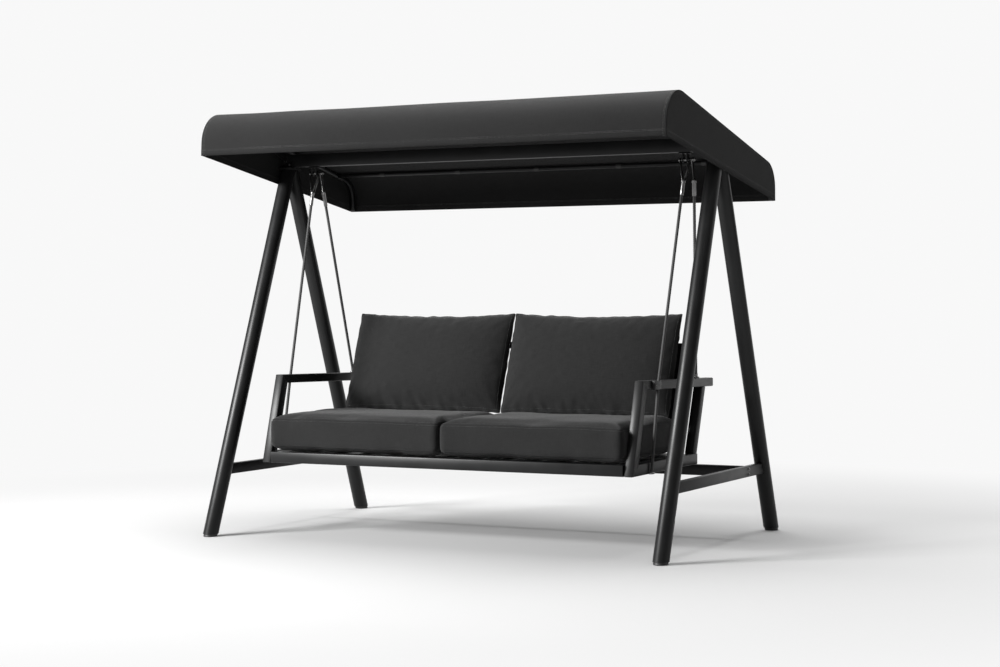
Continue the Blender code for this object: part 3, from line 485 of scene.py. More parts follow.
# (height, radius) of a washer and of a domed socket head, as shares of the bolt head's radius
WASHER = [(0.0, 1.45), (0.18, 1.45), (0.22, 1.05)]
BOLT_HEAD = [(0.0, 1.0), (0.30, 0.97), (0.52, 0.80), (0.62, 0.58), (0.60, 0.50), (0.20, 0.48)]
# height in metres and share of the nut's radius: its washer, the nut and the bolt's end
NUT = [(0.0, 1.35), (0.0010, 1.35), (0.0011, 1.0), (0.0042, 1.0),
       (0.0048, 0.86), (0.0049, 0.55), (0.0068, 0.52), (0.0073, 0.42)]


def bolt_data(seat, way, radius, washer=True):
    """A domed socket-head bolt, on a washer or straight on its seat."""
    under = WASHER if washer else []
    low = under[-1][0] if washer else 0.0
    profile = under + [(low + height, size) for height, size in BOLT_HEAD]
    last = len(profile) - 1
    scaled = [(height * radius, size * radius) for height, size in profile]
    return turned_data(seat, way, scaled, hexagon=(last, last - 1))


def nut_data(seat, way, radius):
    """A hexagonal nut with a washer and the bolt's end."""
    return turned_data(seat, way, [(height, size * radius) for height, size in NUT], hexagon=(2, 3))


SEAT_GAP = 0.0002           # clearance under a bolt head or nut
SADDLE_CHEEK = 0.0043       # from the beam's side to the outside of the saddle's cheek
SADDLE_BOLT_X = 1.064


def frame_hardware():
    """Bolts and end caps that finish the standing frame."""
    stretcher_low, stretcher_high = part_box("rear_stretcher")
    beam_low, beam_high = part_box("top_beam")
    cheek = beam_high.y + SADDLE_CHEEK + SEAT_GAP
    for side_name, side in SIDES.items():
        low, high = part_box(f"side_crossbar_{side_name}")
        outer = face_x(low, high, side) + side * SEAT_GAP
        bolts = Gathered()
        for dz in (-0.012, 0.012):
            seat = (outer, (stretcher_low.y + stretcher_high.y) / 2, (low.z + high.z) / 2 + dz)
            bolts.take(bolt_data(seat, X_AXIS * side, 0.0050))
        bolt_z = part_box(f"apex_saddle_{side_name}")[1].z - 0.009
        for sign in (-1, 1):
            bolts.take(bolt_data((side * SADDLE_BOLT_X, sign * cheek, bolt_z), Y_AXIS * sign, 0.0038))
        bolts.piece(f"stand_bolts_{side_name}", "hardware_steel", "stand")
        beam_cap(side_name, side, beam_low, beam_high)


CAP_STEPS = 48
CAP_CORNER = 0.005
CAP_HOLE = 0.01945
CAP_OUTER = [(0.0003, 0.0), (0.0018, 0.0), (0.0026, 0.0012)]    # depth, and how far it is drawn in


def beam_cap(side_name, side, low, high):
    """A plastic end cap on the top beam, open in the middle for the tilt pivot's flange."""
    centre, face = (low.z + high.z) / 2, face_x(low, high, side)
    half_y, half_z = (high.y - low.y) / 2 - 0.0006, (high.z - low.z) / 2 - 0.0006
    angles = even_angles(CAP_STEPS)
    points, rings = [], []
    for depth, drawn_in in CAP_OUTER:
        ring = []
        for angle in angles:
            dy, dz = cos(angle), sin(angle)
            reach = min((half_y - drawn_in) / max(abs(dy), 1e-6), (half_z - drawn_in) / max(abs(dz), 1e-6))
            y, z = dy * reach, dz * reach
            over = max(abs(y) - (half_y - CAP_CORNER), 0.0) * max(abs(z) - (half_z - CAP_CORNER), 0.0)
            trim = 1.0 - min(over / CAP_CORNER ** 2, 1.0) * 0.055
            ring.append((face + side * depth, y * trim, centre + z * trim))
        add_ring(points, rings, ring)
    for depth in (CAP_OUTER[-1][0], CAP_OUTER[0][0]):
        add_ring(points, rings, [(face + side * depth, CAP_HOLE * cos(angle), centre + CAP_HOLE * sin(angle))
                                 for angle in angles])
    outward(new_piece(f"beam_end_cap_{side_name}", points, strip_faces(rings, closed_run=True),
                      "black_plastic", "stand"))


# Canopy
CANOPY_HALF_WIDTH = 1.118
FRONT_HEM, FRONT_TOP = (-0.655, 1.698), (-0.642, 1.925)     # (y, z) of the cover's corners before rounding
REAR_TOP, REAR_HEM = (0.620, 1.6435), (0.622, 1.4915)
FRONT_ROUND, REAR_ROUND = 0.145, 0.120
SEAM_ROUND = 0.006          # how sharply the top turns into the side panels
SEAM_X = CANOPY_HALF_WIDTH - SEAM_ROUND
CLOTH_THICKNESS = 0.0014
HEM_HEIGHT = 0.031
TOP_STEPS, PANEL_STEPS, TURN_STEPS = 88, 12, 3
HEM_STEPS = 60, 34          # across the front or rear, and along a side
TIE_X = (-0.84, -0.42, 0.0, 0.42, 0.84)
TIE_HALF_WIDTH, TIE_THICKNESS = 0.0125, 0.0013


def arc_between(before, corner, after, radius, steps=12):
    """Points of the arc that rounds a corner of the canopy's outline."""
    before, corner, after = Vector(before), Vector(corner), Vector(after)
    one, two = (before - corner).normalized(), (after - corner).normalized()
    half = one.angle(two) / 2
    centre = corner + (one + two).normalized() * radius / sin(half)
    start = corner + one * radius / tan(half) - centre
    turn = -(pi - 2 * half)
    return [centre + Vector((start.x * cos(turn * i / steps) - start.y * sin(turn * i / steps),
                             start.x * sin(turn * i / steps) + start.y * cos(turn * i / steps)))
            for i in range(steps + 1)]


def canopy_outline():
    """(y, z) of the cover's outside from the front hem over the top to the rear hem, with inward normals."""
    corners = ([Vector(FRONT_HEM)] + arc_between(FRONT_HEM, FRONT_TOP, REAR_TOP, FRONT_ROUND)
               + arc_between(FRONT_TOP, REAR_TOP, REAR_HEM, REAR_ROUND) + [Vector(REAR_HEM)])
    run = []
    for a, b in zip(corners, corners[1:]):
        parts = max(1, int(ceil((b - a).length / 0.022)))
        run += [a.lerp(b, i / parts) for i in range(parts)]
    run.append(corners[-1])
    inward = []
    for i in range(len(run)):
        way = (run[min(i + 1, len(run) - 1)] - run[max(i - 1, 0)]).normalized()
        inward.append(Vector((way.y, -way.x)))
    return run, inward


def cloth_sag(x, y, z):
    """How far the stretched cloth lies inside its frame: hollows between the tubes and soft ripples."""
    across = max(0.0, 1.0 - (x / CANOPY_HALF_WIDTH) ** 2)
    between = max(0.0, cos(pi * y / 0.90)) if abs(y) < 0.45 else 0.0
    hollow = 0.007 * between * across ** 0.7
    ripple = 0.0016 * (1.0 + noise.noise(Vector((x * 3.1, y * 2.0, z * 5.0 + 4.0)))) * min(1.0, across * 3.0)
    if abs(y) <= 0.5:
        return hollow + ripple
    hem_z, height = (1.49, 0.28) if y > 0.0 else (1.698, 0.16)
    hanging = max(0.0, 1.0 - (z - hem_z) / height)
    edge = 0.0035 * hanging * (0.6 + noise.noise(Vector((x * 4.5 + 7.0, y, 1.0)))) * min(1.0, across * 4.0)
    return hollow + ripple + max(0.0, edge)


def on_cloth(x, edge, normal, proud=0.0):
    """The place on the sagging cloth at one (y, z) of the outline, or a little outside it."""
    return Vector((x, *(edge + normal * (cloth_sag(x, *edge) - proud))))


def top_height(y):
    """Height of the canopy's flat top, front to rear, without its rounded corners."""
    share = (y - FRONT_TOP[0]) / (REAR_TOP[0] - FRONT_TOP[0])
    return FRONT_TOP[1] + (REAR_TOP[1] - FRONT_TOP[1]) * share


def side_ripple(y, z, side):
    """Inward lean of a side panel: a soft drape that grows to its free edge."""
    free = max(0.0, min(1.0, (top_height(y) - z) / 0.30))
    wave = noise.noise(Vector((y * 4.0 + 3.0 * side, z * 2.0, 9.0)))
    return free * max(0.0, 0.0012 + 0.0018 * wave) * (1.0 if abs(y) < 0.60 else 0.3)


def side_row(side, edge, normal, seam, foot, length):
    """(x, y, z, u, v) up one side panel, from its free edge to the turn into the top."""
    row = []
    for t in (step / PANEL_STEPS for step in range(PANEL_STEPS, 0, -1)):
        spot = seam.lerp(foot, t)
        lean = side_ripple(*spot, side) * sin(pi * min(1.0, t * 1.4) / 2)
        row.append((side * (CANOPY_HALF_WIDTH - lean), *spot, spot.x + 5.0 * side, spot.y))
    for turn in (pi / 2 * (1 - step / TURN_STEPS) for step in range(TURN_STEPS)):
        x = side * (SEAM_X + SEAM_ROUND * sin(turn))
        row.append((x, *(edge + normal * (SEAM_ROUND * (1 - cos(turn)))), x, length))
    return row


def face_up(sheet):
    """Join the sheet's doubled points and turn its faces so that the top looks up."""
    mesh_data = bmesh.new()
    mesh_data.from_mesh(sheet.data)
    bmesh.ops.remove_doubles(mesh_data, verts=mesh_data.verts, dist=0.0002)
    bmesh.ops.recalc_face_normals(mesh_data, faces=mesh_data.faces)
    middle = min(mesh_data.faces, key=lambda f: (f.calc_center_median() - Vector((0, 0, 1.8))).length)
    if middle.normal.z < 0:
        bmesh.ops.reverse_faces(mesh_data, faces=mesh_data.faces)
    mesh_data.to_mesh(sheet.data)
    mesh_data.free()


def canopy_sheet(run, inward, lengths):
    """One continuous sheet: valances, top and side panels, with real coordinates for its weave."""
    seams = [p + n * SEAM_ROUND for p, n in zip(run, inward)]
    seams[0].y, seams[-1].y = run[0].y, run[-1].y       # the side panels' lower corners lie on the hem
    spots, rows = [], []        # each spot is (x, y, z, u, v)
    for edge, normal, seam, length in zip(run, inward, seams, lengths):
        foot = seams[0].lerp(seams[-1], length / lengths[-1])
        left, right = (side_row(side, edge, normal, seam, foot, length) for side in SIDES.values())
        top = [(*on_cloth(x, edge, normal), x, length) for x in np.linspace(-SEAM_X, SEAM_X, TOP_STEPS)]
        add_ring(spots, rows, left + top + right[::-1])
    faces = strip_faces(rows, closed_rings=False)
    sheet = new_piece("canopy_sheet", [spot[:3] for spot in spots], faces, "canopy_cloth", "canopy", 180.0,
                      [[spots[v][3:] for v in face] for face in faces])
    face_up(sheet)
    shell = sheet.modifiers.new("thickness", "SOLIDIFY")
    shell.thickness = CLOTH_THICKNESS
    shell.offset = -1.0
    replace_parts(sheet, "canopy_cover")
    return sheet


def hem_run(run, inward):
    """The cover's free edge all round, as (point, up along the cloth, outward)."""
    loop = []
    inset = Vector((SEAM_ROUND, 0))
    corners = [run[0] + inset, run[-1] - inset]
    ends = ((run[0], run[1], inward[0]), (run[-1], run[-2], inward[-1]))
    for side, (edge, above, normal) in zip((1, -1), ends):
        up, out = Vector((0, *(above - edge).normalized())), -Vector((0, *normal))
        for x in np.linspace(-side * SEAM_X, side * SEAM_X, HEM_STEPS[0]):
            loop.append((on_cloth(x, edge, normal), up, out))
        start, end = corners[::side]
        for i in range(HEM_STEPS[1] + 1):
            spot = start.lerp(end, i / HEM_STEPS[1])
            x = side * (CANOPY_HALF_WIDTH - side_ripple(*spot, side))
            loop.append((Vector((x, *spot)), Z_AXIS, X_AXIS * side))
    return loop


def canopy_hem(run, inward):
    """The hem: cloth folded up inside the free edge, and its stitching on both faces."""
    loop = hem_run(run, inward)
    inner = CLOTH_THICKNESS + 0.0004
    profile = [(0.0, inner), (-0.0006, inner + 0.0006), (0.0, inner + 0.0012),
               (HEM_HEIGHT * 0.5, inner + 0.0014), (HEM_HEIGHT, inner + 0.0011), (HEM_HEIGHT, inner)]
    points, rings, uvs = [], [], []
    for (spot, up, out), length in zip(loop, run_lengths([spot for spot, _, _ in loop])):
        add_ring(points, rings, [spot + up * rise - out * depth for rise, depth in profile])
        uvs += [(length, rise) for rise, _ in profile]
    faces = strip_faces(rings, closed_run=True)
    hem = outward(new_piece("canopy_hem", points, faces, "canopy_cloth", "canopy", 30.0,
                            [[uvs[v] for v in face] for face in faces]))
    closed = loop + loop[:1]
    lines = []
    for rise in (HEM_HEIGHT - 0.003, HEM_HEIGHT - 0.008):
        for sign, depth in ((1, -0.0002), (-1, inner + 0.0013)):
            lines.append(([spot + up * rise - out * depth for spot, up, out in closed],
                          [out * sign for _, _, out in closed]))
    return [hem, stitches("canopy_hem_stitches", lines, CANOPY_STITCH, "canopy", "canopy_cloth")]


def canopy_seams(run, inward):
    """The welt where each side panel is sewn to the top, with two rows of stitches beside it."""
    made = []
    slant = SEAM_ROUND * (1 - cos(pi / 4))
    for side_name, side in SIDES.items():
        welt = [Vector((side * (CANOPY_HALF_WIDTH - slant), *(p + n * slant))) for p, n in zip(run, inward)]
        made.append(new_piece(f"canopy_side_welt_{side_name}", *tube_data(resampled(welt, 0.006), 0.0019),
                              "canopy_cloth", "canopy", 60.0))
        lines = []
        for x in (side * (CANOPY_HALF_WIDTH - inset) for inset in (0.010, 0.016)):
            lines.append(([on_cloth(x, p, n, 0.0002) for p, n in zip(run, inward)],
                          [-Vector((0, *n)) for n in inward]))
        made.append(stitches(f"canopy_top_stitches_{side_name}", lines, CANOPY_STITCH,
                             "canopy", "canopy_cloth"))
    return made


def canopy_ties():
    """Webbing loops that hold the cloth on the two cross tubes."""
    made = []
    for end in ("front", "rear"):
        low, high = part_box(f"canopy_cross_tube_{end}")
        centre = (low + high) / 2
        inner = (high.z - low.z) / 2 + 0.0004
        outer = inner + TIE_THICKNESS
        section = [(inner, -1), (inner, 1), (outer, 1), (outer, -1)]
        data = Gathered()
        for x in TIE_X:
            points, rings = [], []
            for angle in (radians(112) + radians(316) * i / 32 for i in range(33)):
                add_ring(points, rings, [Vector((x + edge * TIE_HALF_WIDTH, centre.y + r * cos(angle),
                                                 centre.z + r * sin(angle))) for r, edge in section])
            data.take((points, strip_faces(rings)))
        made.append(data.piece(f"canopy_ties_{end}", "black_plastic", "canopy", slot="canopy_cloth"))
    return made


def bow_ends(side_name):
    """(y, z) of a bow's two open ends."""
    points = np.array([v.co for v in NODES[f"canopy_bow_{side_name}"].data.vertices])
    ends = []
    y = points[:, 1]
    for near_end in (y < y.min() + 0.0225, y > y.max() - 0.0225):
        chosen = points[near_end]
        rim = chosen[chosen[:, 2] < chosen[:, 2].min() + 0.004]
        ends.append(((rim[:, 1].min() + rim[:, 1].max()) / 2, rim[:, 2].min()))
    return ends


def canopy_hardware():
    """Plugs in the bows' open ends and the nuts that hold the arms to them."""
    for side_name, side in SIDES.items():
        low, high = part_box(f"canopy_bow_{side_name}")
        radius = (high.x - low.x) / 2
        profile = [(-0.010, radius - 0.0017), (0.0002, radius - 0.0017), (0.0002, radius - 0.0002),
                   (0.0020, radius - 0.0004), (0.0040, radius * 0.6), (0.0046, radius * 0.2)]
        plugs = Gathered()
        for y, z in bow_ends(side_name):
            plugs.take(turned_data(((low.x + high.x) / 2, y, z), -Z_AXIS, profile))
        outward(plugs.piece(f"bow_plugs_{side_name}", "black_plastic", "canopy"))
        low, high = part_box(f"canopy_arm_{side_name}")
        inner = face_x(low, high, -side) - side * SEAT_GAP
        nuts = Gathered()
        for y in (low.y + 0.0125, high.y - 0.0125):
            nuts.take(nut_data((inner, y, top_height(y) - 0.0178), -X_AXIS * side, 0.0052))
        outward(nuts.piece(f"arm_bolts_{side_name}", "hardware_steel", "canopy"))


def build_canopy():
    run, inward = canopy_outline()
    lengths = run_lengths(run)
    sheet = canopy_sheet(run, inward, lengths)
    trims = canopy_hem(run, inward) + canopy_seams(run, inward) + canopy_ties()
    canopy_hardware()


# Cushions
SEAT_X, SEAT_Y = (0.003, 0.8612), (-0.516, 0.107)
SEAT_CROWN = 0.553
SEAT_STEP, SEAT_EDGE_ROUND = 0.0125, 0.026
SEAT_ROOM_TO_SWELL = 0.020                  # how much lower the seat is before it is blown up
SEAT_FLATTENED = 0.008                      # how much of its swollen underside the deck presses flat
BACK_LEAN = radians(20.0)
BACK_FOOT = Vector((0, 0.120, 0.3756))      # where the back panel's front face meets the rear rail
PILLOW_UP = (0.136, 0.612)                  # seam at the bottom and top corners, along the leaning back
PILLOW_OUT = 0.100                          # seam's distance in front of the back panel
PILLOW_X = (0.002, 0.824)
PILLOW_STEP = 0.010
PILLOW_HALF_THICKNESS = 0.094
PILLOW_START_THICKNESS = 0.078              # half, before it is blown up
PILLOW_CLEAR = 0.0045                       # between the pillow's flattened back and the back panel
PILLOW_DRAWN_IN = (0.001, 0.015, 0.002)     # how far the seam curves in at its sides, top and bottom
PILLOW_SETTLED = 0.16                       # how much thicker it is at the bottom and thinner at the top
CLOTH_STIFFNESS = 12.0


def point_group(piece, name, chosen):
    piece.vertex_groups.new(name=name).add(chosen, 1.0, "REPLACE")
    return name


def inflate(piece, pressure, frames, bending, cap=None, seam=None, shrink=0.0, pinned=None):
    """Where a closed cloth skin's points go when it is blown up in place, without gravity."""
    rest = np.array([v.co for v in piece.data.vertices])
    cloth = piece.modifiers.new("inflate", "CLOTH")
    settings = cloth.settings
    settings.quality = 5
    settings.mass = 0.25
    settings.tension_stiffness = settings.compression_stiffness = CLOTH_STIFFNESS
    settings.shear_stiffness = CLOTH_STIFFNESS * 0.4
    settings.bending_stiffness = bending
    settings.use_pressure = True
    settings.uniform_pressure_force = pressure
    settings.effector_weights.gravity = 0.0
    if seam is not None:
        settings.vertex_group_shrink = point_group(piece, "seam", seam)
        settings.shrink_max = shrink
    if pinned is not None:
        settings.vertex_group_mass = point_group(piece, "pinned", pinned)
    cloth.point_cache.frame_start, cloth.point_cache.frame_end = 1, frames
    scene = bpy.context.scene
    for number in range(1, frames + 1):
        scene.frame_set(number)
    blown = piece.evaluated_get(bpy.context.evaluated_depsgraph_get()).to_mesh()
    moved = np.array([v.co for v in blown.vertices])
    piece.modifiers.remove(cloth)
    scene.frame_set(1)
    if cap is not None:
        step = moved - rest
        size = np.linalg.norm(step, axis=1)
        moved = rest + step * np.minimum(1.0, cap / np.maximum(size, 1e-9))[:, None]
    return moved


def lattice_box(size, step, rounding):
    """Even quads over a box with rounded edges: points, faces, uvs and the index of each point."""
    counts = [max(2, int(round(s / step))) for s in size]
    index, points = {}, []
    half = [s / 2 for s in size]

    def number(key):
        if key not in index:
            place = [-half[n] + size[n] * key[n] / counts[n] for n in range(3)]
            core = Vector([min(max(p, rounding - h), h - rounding) for p, h in zip(place, half)])
            out = Vector(place) - core
            index[key] = len(points)
            points.append(tuple(core + out.normalized() * min(out.length, rounding)))
        return index[key]

    faces, uvs = [], []
    for fixed in range(3):
        a, b = [axis for axis in range(3) if axis != fixed]
        for level in (0, counts[fixed]):
            for i in range(counts[a]):
                for j in range(counts[b]):
                    corners = []
                    for di, dj in ((0, 0), (1, 0), (1, 1), (0, 1)):
                        key = [0, 0, 0]
                        key[fixed], key[a], key[b] = level, i + di, j + dj
                        uv = (size[a] * key[a] / counts[a], size[b] * key[b] / counts[b])
                        corners.append((tuple(key), uv))
                    if (level > 0) == (fixed == 1):
                        corners.reverse()
                    faces.append(tuple(number(key) for key, _ in corners))
                    uvs.append([uv for _, uv in corners])
    return points, faces, uvs, index, counts


def pillow_lattice(width, height, thickness):
    """Two panels sewn together all round, the seam drawn in a little at mid-side, parted to be blown up."""
    nx, ny = int(round(width / PILLOW_STEP)), int(round(height / PILLOW_STEP))
    sides_in, top_in, bottom_in = PILLOW_DRAWN_IN
    index, points = {}, []

    def number(i, j, face):
        border = i in (0, nx) or j in (0, ny)
        key = (i, j, 0 if border else face)
        if key not in index:
            u, v = 2 * i / nx - 1, 2 * j / ny - 1
            rise = 0.0 if border else face * thickness * ((1 - abs(u) ** 3) * (1 - abs(v) ** 3)) ** 0.5
            index[key] = len(points)
            drawn_in = top_in if v > 0 else bottom_in
            points.append(((width / 2 - sides_in * (1 - v * v)) * u,
                           (height / 2 - drawn_in * (1 - u * u)) * v, rise))
        return index[key]

    faces, uvs = [], []
    for face in (1, -1):
        for i in range(nx):
            for j in range(ny):
                corners = [(i, j), (i + 1, j), (i + 1, j + 1), (i, j + 1)][::face]
                faces.append(tuple(number(a, b, face) for a, b in corners))
                uvs.append([(width * a / nx, height * b / ny) for a, b in corners])
    return points, faces, uvs, index, (nx, ny)


def lattice_ring(index, counts, inset, level):
    """Point numbers round a lattice's rectangle, inset from its border, at one level of the third axis."""
    low, high_i, high_j = inset, counts[0] - inset, counts[1] - inset
    keys = ([(i, low) for i in range(low, high_i)] + [(high_i, j) for j in range(low, high_j)]
            + [(i, high_j) for i in range(high_i, low, -1)] + [(low, j) for j in range(high_j, low, -1)])
    return [index[i, j, level] for i, j in keys]


def crease_seam(piece, ring):
    """Keep the edges between neighbouring points of a ring sharp under subdivision."""
    seam = {frozenset(pair) for pair in zip(ring, ring[1:] + ring[:1])}
    piece.data.edge_creases_ensure()
    creases = piece.data.edge_creases.data
    for edge in piece.data.edges:
        if frozenset(edge.vertices) in seam:
            creases[edge.index].value = 1.0


def subdivide(piece):
    fine = piece.modifiers.new("fine", "SUBSURF")
    fine.levels = fine.render_levels = 1


def seam_cord(name, piece, rings, radius, lift):
    """The sewn seam as a thin welt along rings of a cushion's points."""
    data = Gathered()
    normals = point_normals(piece)
    for ring in rings:
        path = [piece.data.vertices[i].co + normals[i] * lift for i in ring]
        data.take(tube_data(resampled(path + path[:1], 0.005)[:-1], radius, closed=True))
    outward(data.piece(name, "cushion_cloth", "bench", 60.0))


def seam_stitches(name, piece, rings):
    """Rows of stitches along rings of a cushion's points."""
    normals = point_normals(piece)
    lines = []
    for closed in (ring + ring[:1] for ring in rings):
        lines.append(([piece.data.vertices[i].co + normals[i] * 0.0001 for i in closed],
                      [normals[i] for i in closed]))
    stitches(name, lines, CUSHION_STITCH, "bench", "cushion_cloth")


def fitted(points, low, high):
    """Points stretched along each axis so that they just fill a box."""
    least, most = points.min(axis=0), points.max(axis=0)
    return np.array(low) + (points - least) * (np.array(high) - np.array(low)) / (most - least)


def soft_waves(points, normals, size, depth, seed):
    """Points moved along their normals by slow, even waves, as a filling settles unevenly."""
    waves = [noise.noise(Vector(p) / size + Vector((seed, 0, 0))) for p in points]
    return points + np.array(normals) * (np.array(waves) * depth)[:, None]


def seat_cushion(side_name, side):
    """A boxed foam cushion: crowned top, slightly full sides, flat on the deck, sewn along both edges."""
    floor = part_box(f"seat_cushion_{side_name}")[0].z + 0.0005
    ends = sorted((side * SEAT_X[0], side * SEAT_X[1]))
    low, high = Vector((ends[0], SEAT_Y[0], floor)), Vector((ends[1], SEAT_Y[1], SEAT_CROWN))
    size = high - low - Z_AXIS * SEAT_ROOM_TO_SWELL
    points, faces, uvs, index, counts = lattice_box(size, SEAT_STEP, SEAT_EDGE_ROUND)
    points = np.array(points) + np.array((low + high) / 2)
    piece = new_piece(f"seat_cushion_cover_{side_name}", points, faces, "cushion_cloth", "bench", 180.0, uvs)
    top, bottom = lattice_ring(index, counts, 0, counts[2]), lattice_ring(index, counts, 0, 0)
    points = soft_waves(points, point_normals(piece), 0.16, 0.006, side)
    set_points(piece, points)
    points = inflate(piece, 3.6, 20, 1.5, cap=0.024, seam=top + bottom, shrink=0.004)
    points = fitted(points, low - Z_AXIS * SEAT_FLATTENED, high)
    points[:, 2] = np.maximum(points[:, 2], floor)
    set_points(piece, points)
    normals = np.array(point_normals(piece))
    for ring in (top, bottom):
        points[ring] -= normals[ring] * 0.0012
    set_points(piece, points)
    subdivide(piece)
    seam_cord(f"seat_seam_{side_name}", piece, [top, bottom], 0.0012, 0.0003)
    beside = [lattice_ring(index, counts, 1, counts[2]), lattice_ring(index, counts, 0, counts[2] - 1)]
    seam_stitches(f"seat_stitches_{side_name}", piece, beside)
    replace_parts(piece, f"seat_cushion_{side_name}")


def back_cushion(side_name, side):
    """A loose knife-edged pillow: two panels sewn all round, full in the middle, flat against the back."""
    width, height = PILLOW_X[1] - PILLOW_X[0], PILLOW_UP[1] - PILLOW_UP[0]
    points, faces, uvs, index, counts = pillow_lattice(width, height, PILLOW_START_THICKNESS)
    border = lattice_ring(index, counts, 0, 0)
    piece = new_piece(f"back_cushion_cover_{side_name}", points, faces, "cushion_cloth", "bench", 180.0, uvs)
    points = soft_waves(np.array(points), point_normals(piece), 0.035, 0.004, 3.0 * side)
    set_points(piece, points)
    points = inflate(piece, 4.0, 16, 0.3, pinned=border)
    reach = np.array([width, height, 2 * PILLOW_HALF_THICKNESS]) / 2
    points = fitted(points, -reach, reach)
    points[:, 2] *= 1.0 - PILLOW_SETTLED * points[:, 1] / reach[1]
    along, out = Vector((0, sin(BACK_LEAN), cos(BACK_LEAN))), Vector((0, -cos(BACK_LEAN), sin(BACK_LEAN)))
    centre = BACK_FOOT + along * (sum(PILLOW_UP) / 2) + out * PILLOW_OUT + X_AXIS * side * sum(PILLOW_X) / 2
    outs = np.maximum(points[:, 2], PILLOW_CLEAR - PILLOW_OUT)
    placed = (np.array(centre) + np.outer(points[:, 0], X_AXIS) + np.outer(points[:, 1], along)
              + np.outer(outs, out))
    placed[:, 0] = side * np.maximum(side * placed[:, 0], 0.0014)
    set_points(piece, placed)
    crease_seam(piece, border)
    subdivide(piece)
    seam_cord(f"back_seam_{side_name}", piece, [border], 0.0019, 0.0)
    seam_stitches(f"back_stitches_{side_name}", piece, [lattice_ring(index, counts, 1, 1)])
    outward(piece)
    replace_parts(piece, f"back_cushion_{side_name}")


# Ropes and bench hardware
CAD_ROPE_SIDES = 10
ROPE_RADIUS, ROPE_PITCH, ROPE_STRANDS = 0.0066, 0.026, 3


def cad_centreline(node):
    """Centres of the rings of a rope's CAD solid, from top to bottom."""
    points = np.unique(np.round([v.co for v in NODES[node].data.vertices], 6), axis=0)
    points = points[np.argsort(-points[:, 2])]
    return [Vector(points[i:i + CAD_ROPE_SIDES].mean(axis=0)) for i in range(0, len(points), CAD_ROPE_SIDES)]


def twisted_rope(node):
    """A laid rope of three strands along its CAD solid's line, its bend eased into an arc."""
    line = cad_centreline(node)
    if len(line) == 3:
        start, bend, end = line
        before = bend + (start - bend).normalized() * 0.02
        after = bend + (end - bend).normalized() * 0.02
        arc = [before.lerp(bend, t / 6).lerp(bend.lerp(after, t / 6), t / 6) for t in range(7)]
        line = [start] + arc + [end]
    path = resampled(line, 0.0022)
    length = run_lengths(path)[-1]

    def lobes(share, angle):
        phase = ROPE_STRANDS * (angle - 2 * pi * share * length / ROPE_PITCH) / 2
        return 0.80 + 0.22 * abs(cos(phase)) ** 0.8

    tube = tube_data(path, ROPE_RADIUS, 21, profile=lobes)
    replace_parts(new_piece(f"laid_{node}", *tube, "rope", "bench", 80.0), node)


def bench_hardware():
    """Screws of the rope clamps and lugs, and the nuts and heads of the hanger pins."""
    for side_name, side in SIDES.items():
        screws = Gathered()
        low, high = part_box(f"rope_clamp_front_{side_name}")
        for y in (low.y + 0.011, high.y - 0.011):
            seat = (face_x(low, high, side) + side * 0.0001, y, (low.z + high.z) / 2)
            screws.take(bolt_data(seat, X_AXIS * side, 0.0034, washer=False))
        low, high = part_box(f"rope_lug_front_{side_name}")
        seat = (face_x(low, high, side) + side * 0.0001, (low.y + high.y) / 2, (low.z + high.z) / 2)
        screws.take(bolt_data(seat, X_AXIS * side, 0.0026, washer=False))
        outward(screws.piece(f"clamp_screws_{side_name}", "hardware_steel", "bench"))
        low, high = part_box(f"hanger_pin_{side_name}")
        middle = (low + high) / 2
        nuts = Gathered()
        nuts.take(nut_data((high.x - SEAT_GAP, middle.y, middle.z), X_AXIS, 0.0062))
        nuts.take(bolt_data((low.x + SEAT_GAP, middle.y, middle.z), -X_AXIS, 0.0066, washer=False))
        outward(nuts.piece(f"hanger_nuts_{side_name}", "hardware_steel", "stand"))


def build_bench():
    for side_name, side in SIDES.items():
        seat_cushion(side_name, side)
        back_cushion(side_name, side)
        for end in ("front", "rear"):
            twisted_rope(f"rope_{end}_{side_name}")
    bench_hardware()


# Stage, light and camera
FLOOR_PALE = 0.37
FLOOR_HALF_WIDTH, FLOOR_FRONT, FLOOR_REAR = 16.0, -14.0, 9.0
SWEEP_RADIUS, BACKDROP_HEIGHT = 4.0, 12.0
WORLD_STRENGTH = 0.15
SOFTBOXES = {       # place, what it is aimed at, size and power
    "key": ((-4.4, -5.4, 3.4), (0.0, 0.0, 1.0), (2.6, 2.4), 1500.0),
    "overhead": ((0.0, 0.6, 5.0), (0.0, 0.0, 0.5), (4.0, 3.0), 500.0),
}
CAMERA_PLACE = (4.1557, -7.9566, 1.0801)
CAMERA_HEADING, CAMERA_TILT, CAMERA_ROLL = radians(27.358), radians(-1.155), radians(-0.247)
LENS, SENSOR = 71.90, 36.0


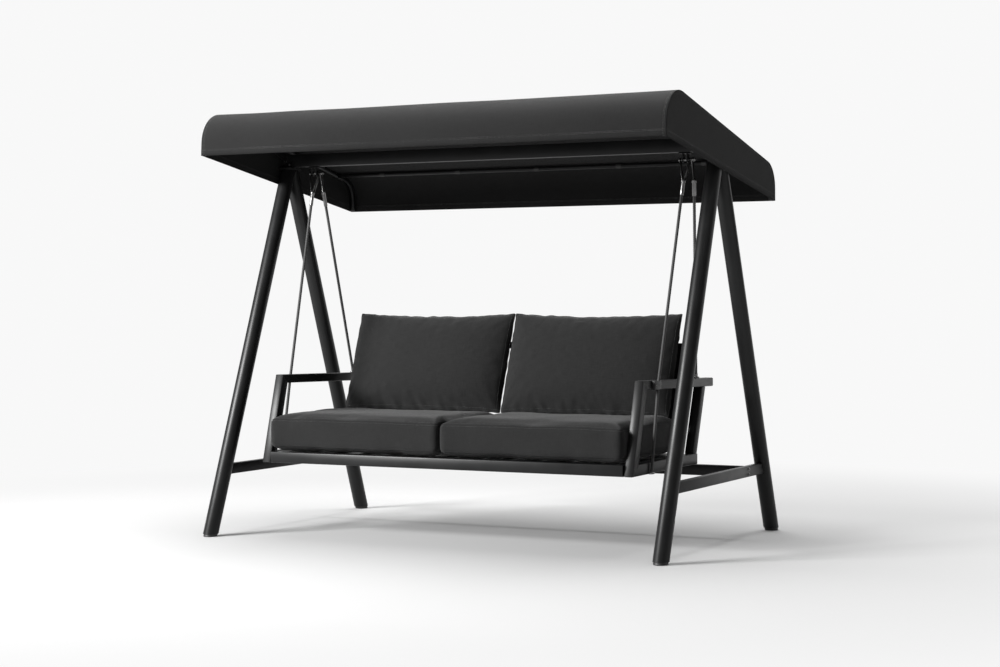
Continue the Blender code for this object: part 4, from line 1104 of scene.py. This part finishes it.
def floor_material():
    """Pale matt studio floor that takes the shadow near the object and fades to a bright surround."""
    s = Shader("studio_floor")
    place = s.add("TexCoord").outputs["Object"]
    parts = s.add("SeparateXYZ", {"Vector": place})
    flat = s.add("CombineXYZ", {"X": parts.outputs["X"], "Y": parts.outputs["Y"]}).outputs["Vector"]
    away = s.add("VectorMath", {0: flat}, operation="LENGTH").outputs["Value"]
    base = s.mix(s.spread(s.noise(place, 3.0), 0.0, 1.0), grey(FLOOR_PALE), grey(FLOOR_PALE * 1.02))
    s.feed(s.surface, {"Base Color": base, "Roughness": 0.9, "Specular IOR Level": 0.1})
    glow = s.add("Emission", {"Color": grey(0.94), "Strength": 1.0})
    fade = {"Value": away, "From Min": 1.2, "From Max": 4.2, "To Min": 0.10, "To Max": 1.0}
    share = s.add("MapRange", fade, interpolation_type="SMOOTHSTEP").outputs["Result"]
    both = s.add("MixShader", {0: share, 1: s.surface.outputs["BSDF"], 2: glow.outputs["Emission"]})
    s.feed(s.tree.nodes["Material Output"], {"Surface": both.outputs["Shader"]})
    return s.material


def build_stage():
    """A pale floor that sweeps up into a backdrop."""
    side_view = [(FLOOR_FRONT, 0.0), (FLOOR_REAR, 0.0)]
    for angle in np.linspace(0.1, pi / 2, 10):
        side_view.append((FLOOR_REAR + SWEEP_RADIUS * sin(angle), SWEEP_RADIUS * (1 - cos(angle))))
    side_view.append((FLOOR_REAR + SWEEP_RADIUS, BACKDROP_HEIGHT))
    points, rows = [], []
    for y, z in side_view:
        add_ring(points, rows, [(-FLOOR_HALF_WIDTH, y, z), (FLOOR_HALF_WIDTH, y, z)])
    mesh = bpy.data.meshes.new("studio_floor")
    mesh.from_pydata(points, [], strip_faces(rows, closed_rings=False))
    mesh.shade_smooth()
    mesh.materials.append(floor_material())
    floor = bpy.data.objects.new("studio_floor", mesh)
    bpy.context.scene.collection.objects.link(floor)


def softbox(name, place, target, size, power):
    light = bpy.data.lights.new(name, "AREA")
    light.shape = "RECTANGLE"
    light.size, light.size_y = size
    light.energy = power
    lamp = bpy.data.objects.new(name, light)
    lamp.location = place
    lamp.rotation_euler = (Vector(target) - Vector(place)).to_track_quat("-Z", "Y").to_euler()
    bpy.context.scene.collection.objects.link(lamp)


def build_light():
    """A dim white surround, a key light from the front left and a wide light overhead."""
    world = bpy.data.worlds.new("studio")
    world.use_nodes = True
    surround = world.node_tree.nodes["Background"].inputs
    surround["Color"].default_value = (1.0, 1.0, 1.0, 1.0)
    surround["Strength"].default_value = WORLD_STRENGTH
    bpy.context.scene.world = world
    bpy.context.scene.view_settings.view_transform = "Standard"
    for name, settings in SOFTBOXES.items():
        softbox(name, *settings)


def build_camera():
    """The camera, from its heading, tilt and roll."""
    ahead = Vector((-sin(CAMERA_HEADING) * cos(CAMERA_TILT), cos(CAMERA_HEADING) * cos(CAMERA_TILT),
                    sin(CAMERA_TILT)))
    right = Vector((cos(CAMERA_HEADING), sin(CAMERA_HEADING), 0.0))
    up = right.cross(ahead)
    turned_right = right * cos(CAMERA_ROLL) + up * sin(CAMERA_ROLL)
    turned_up = up * cos(CAMERA_ROLL) - right * sin(CAMERA_ROLL)
    lens = bpy.data.cameras.new("camera")
    lens.lens, lens.sensor_width = LENS, SENSOR
    lens.clip_start, lens.clip_end = 0.1, 100.0
    camera = bpy.data.objects.new("camera", lens)
    turn = Matrix((turned_right, turned_up, -ahead)).transposed().to_4x4()
    camera.matrix_world = Matrix.Translation(CAMERA_PLACE) @ turn
    bpy.context.scene.collection.objects.link(camera)
    bpy.context.scene.camera = camera


build_camera()
dress_cad_nodes()
frame_hardware()
build_canopy()
build_bench()
build_stage()
build_light()
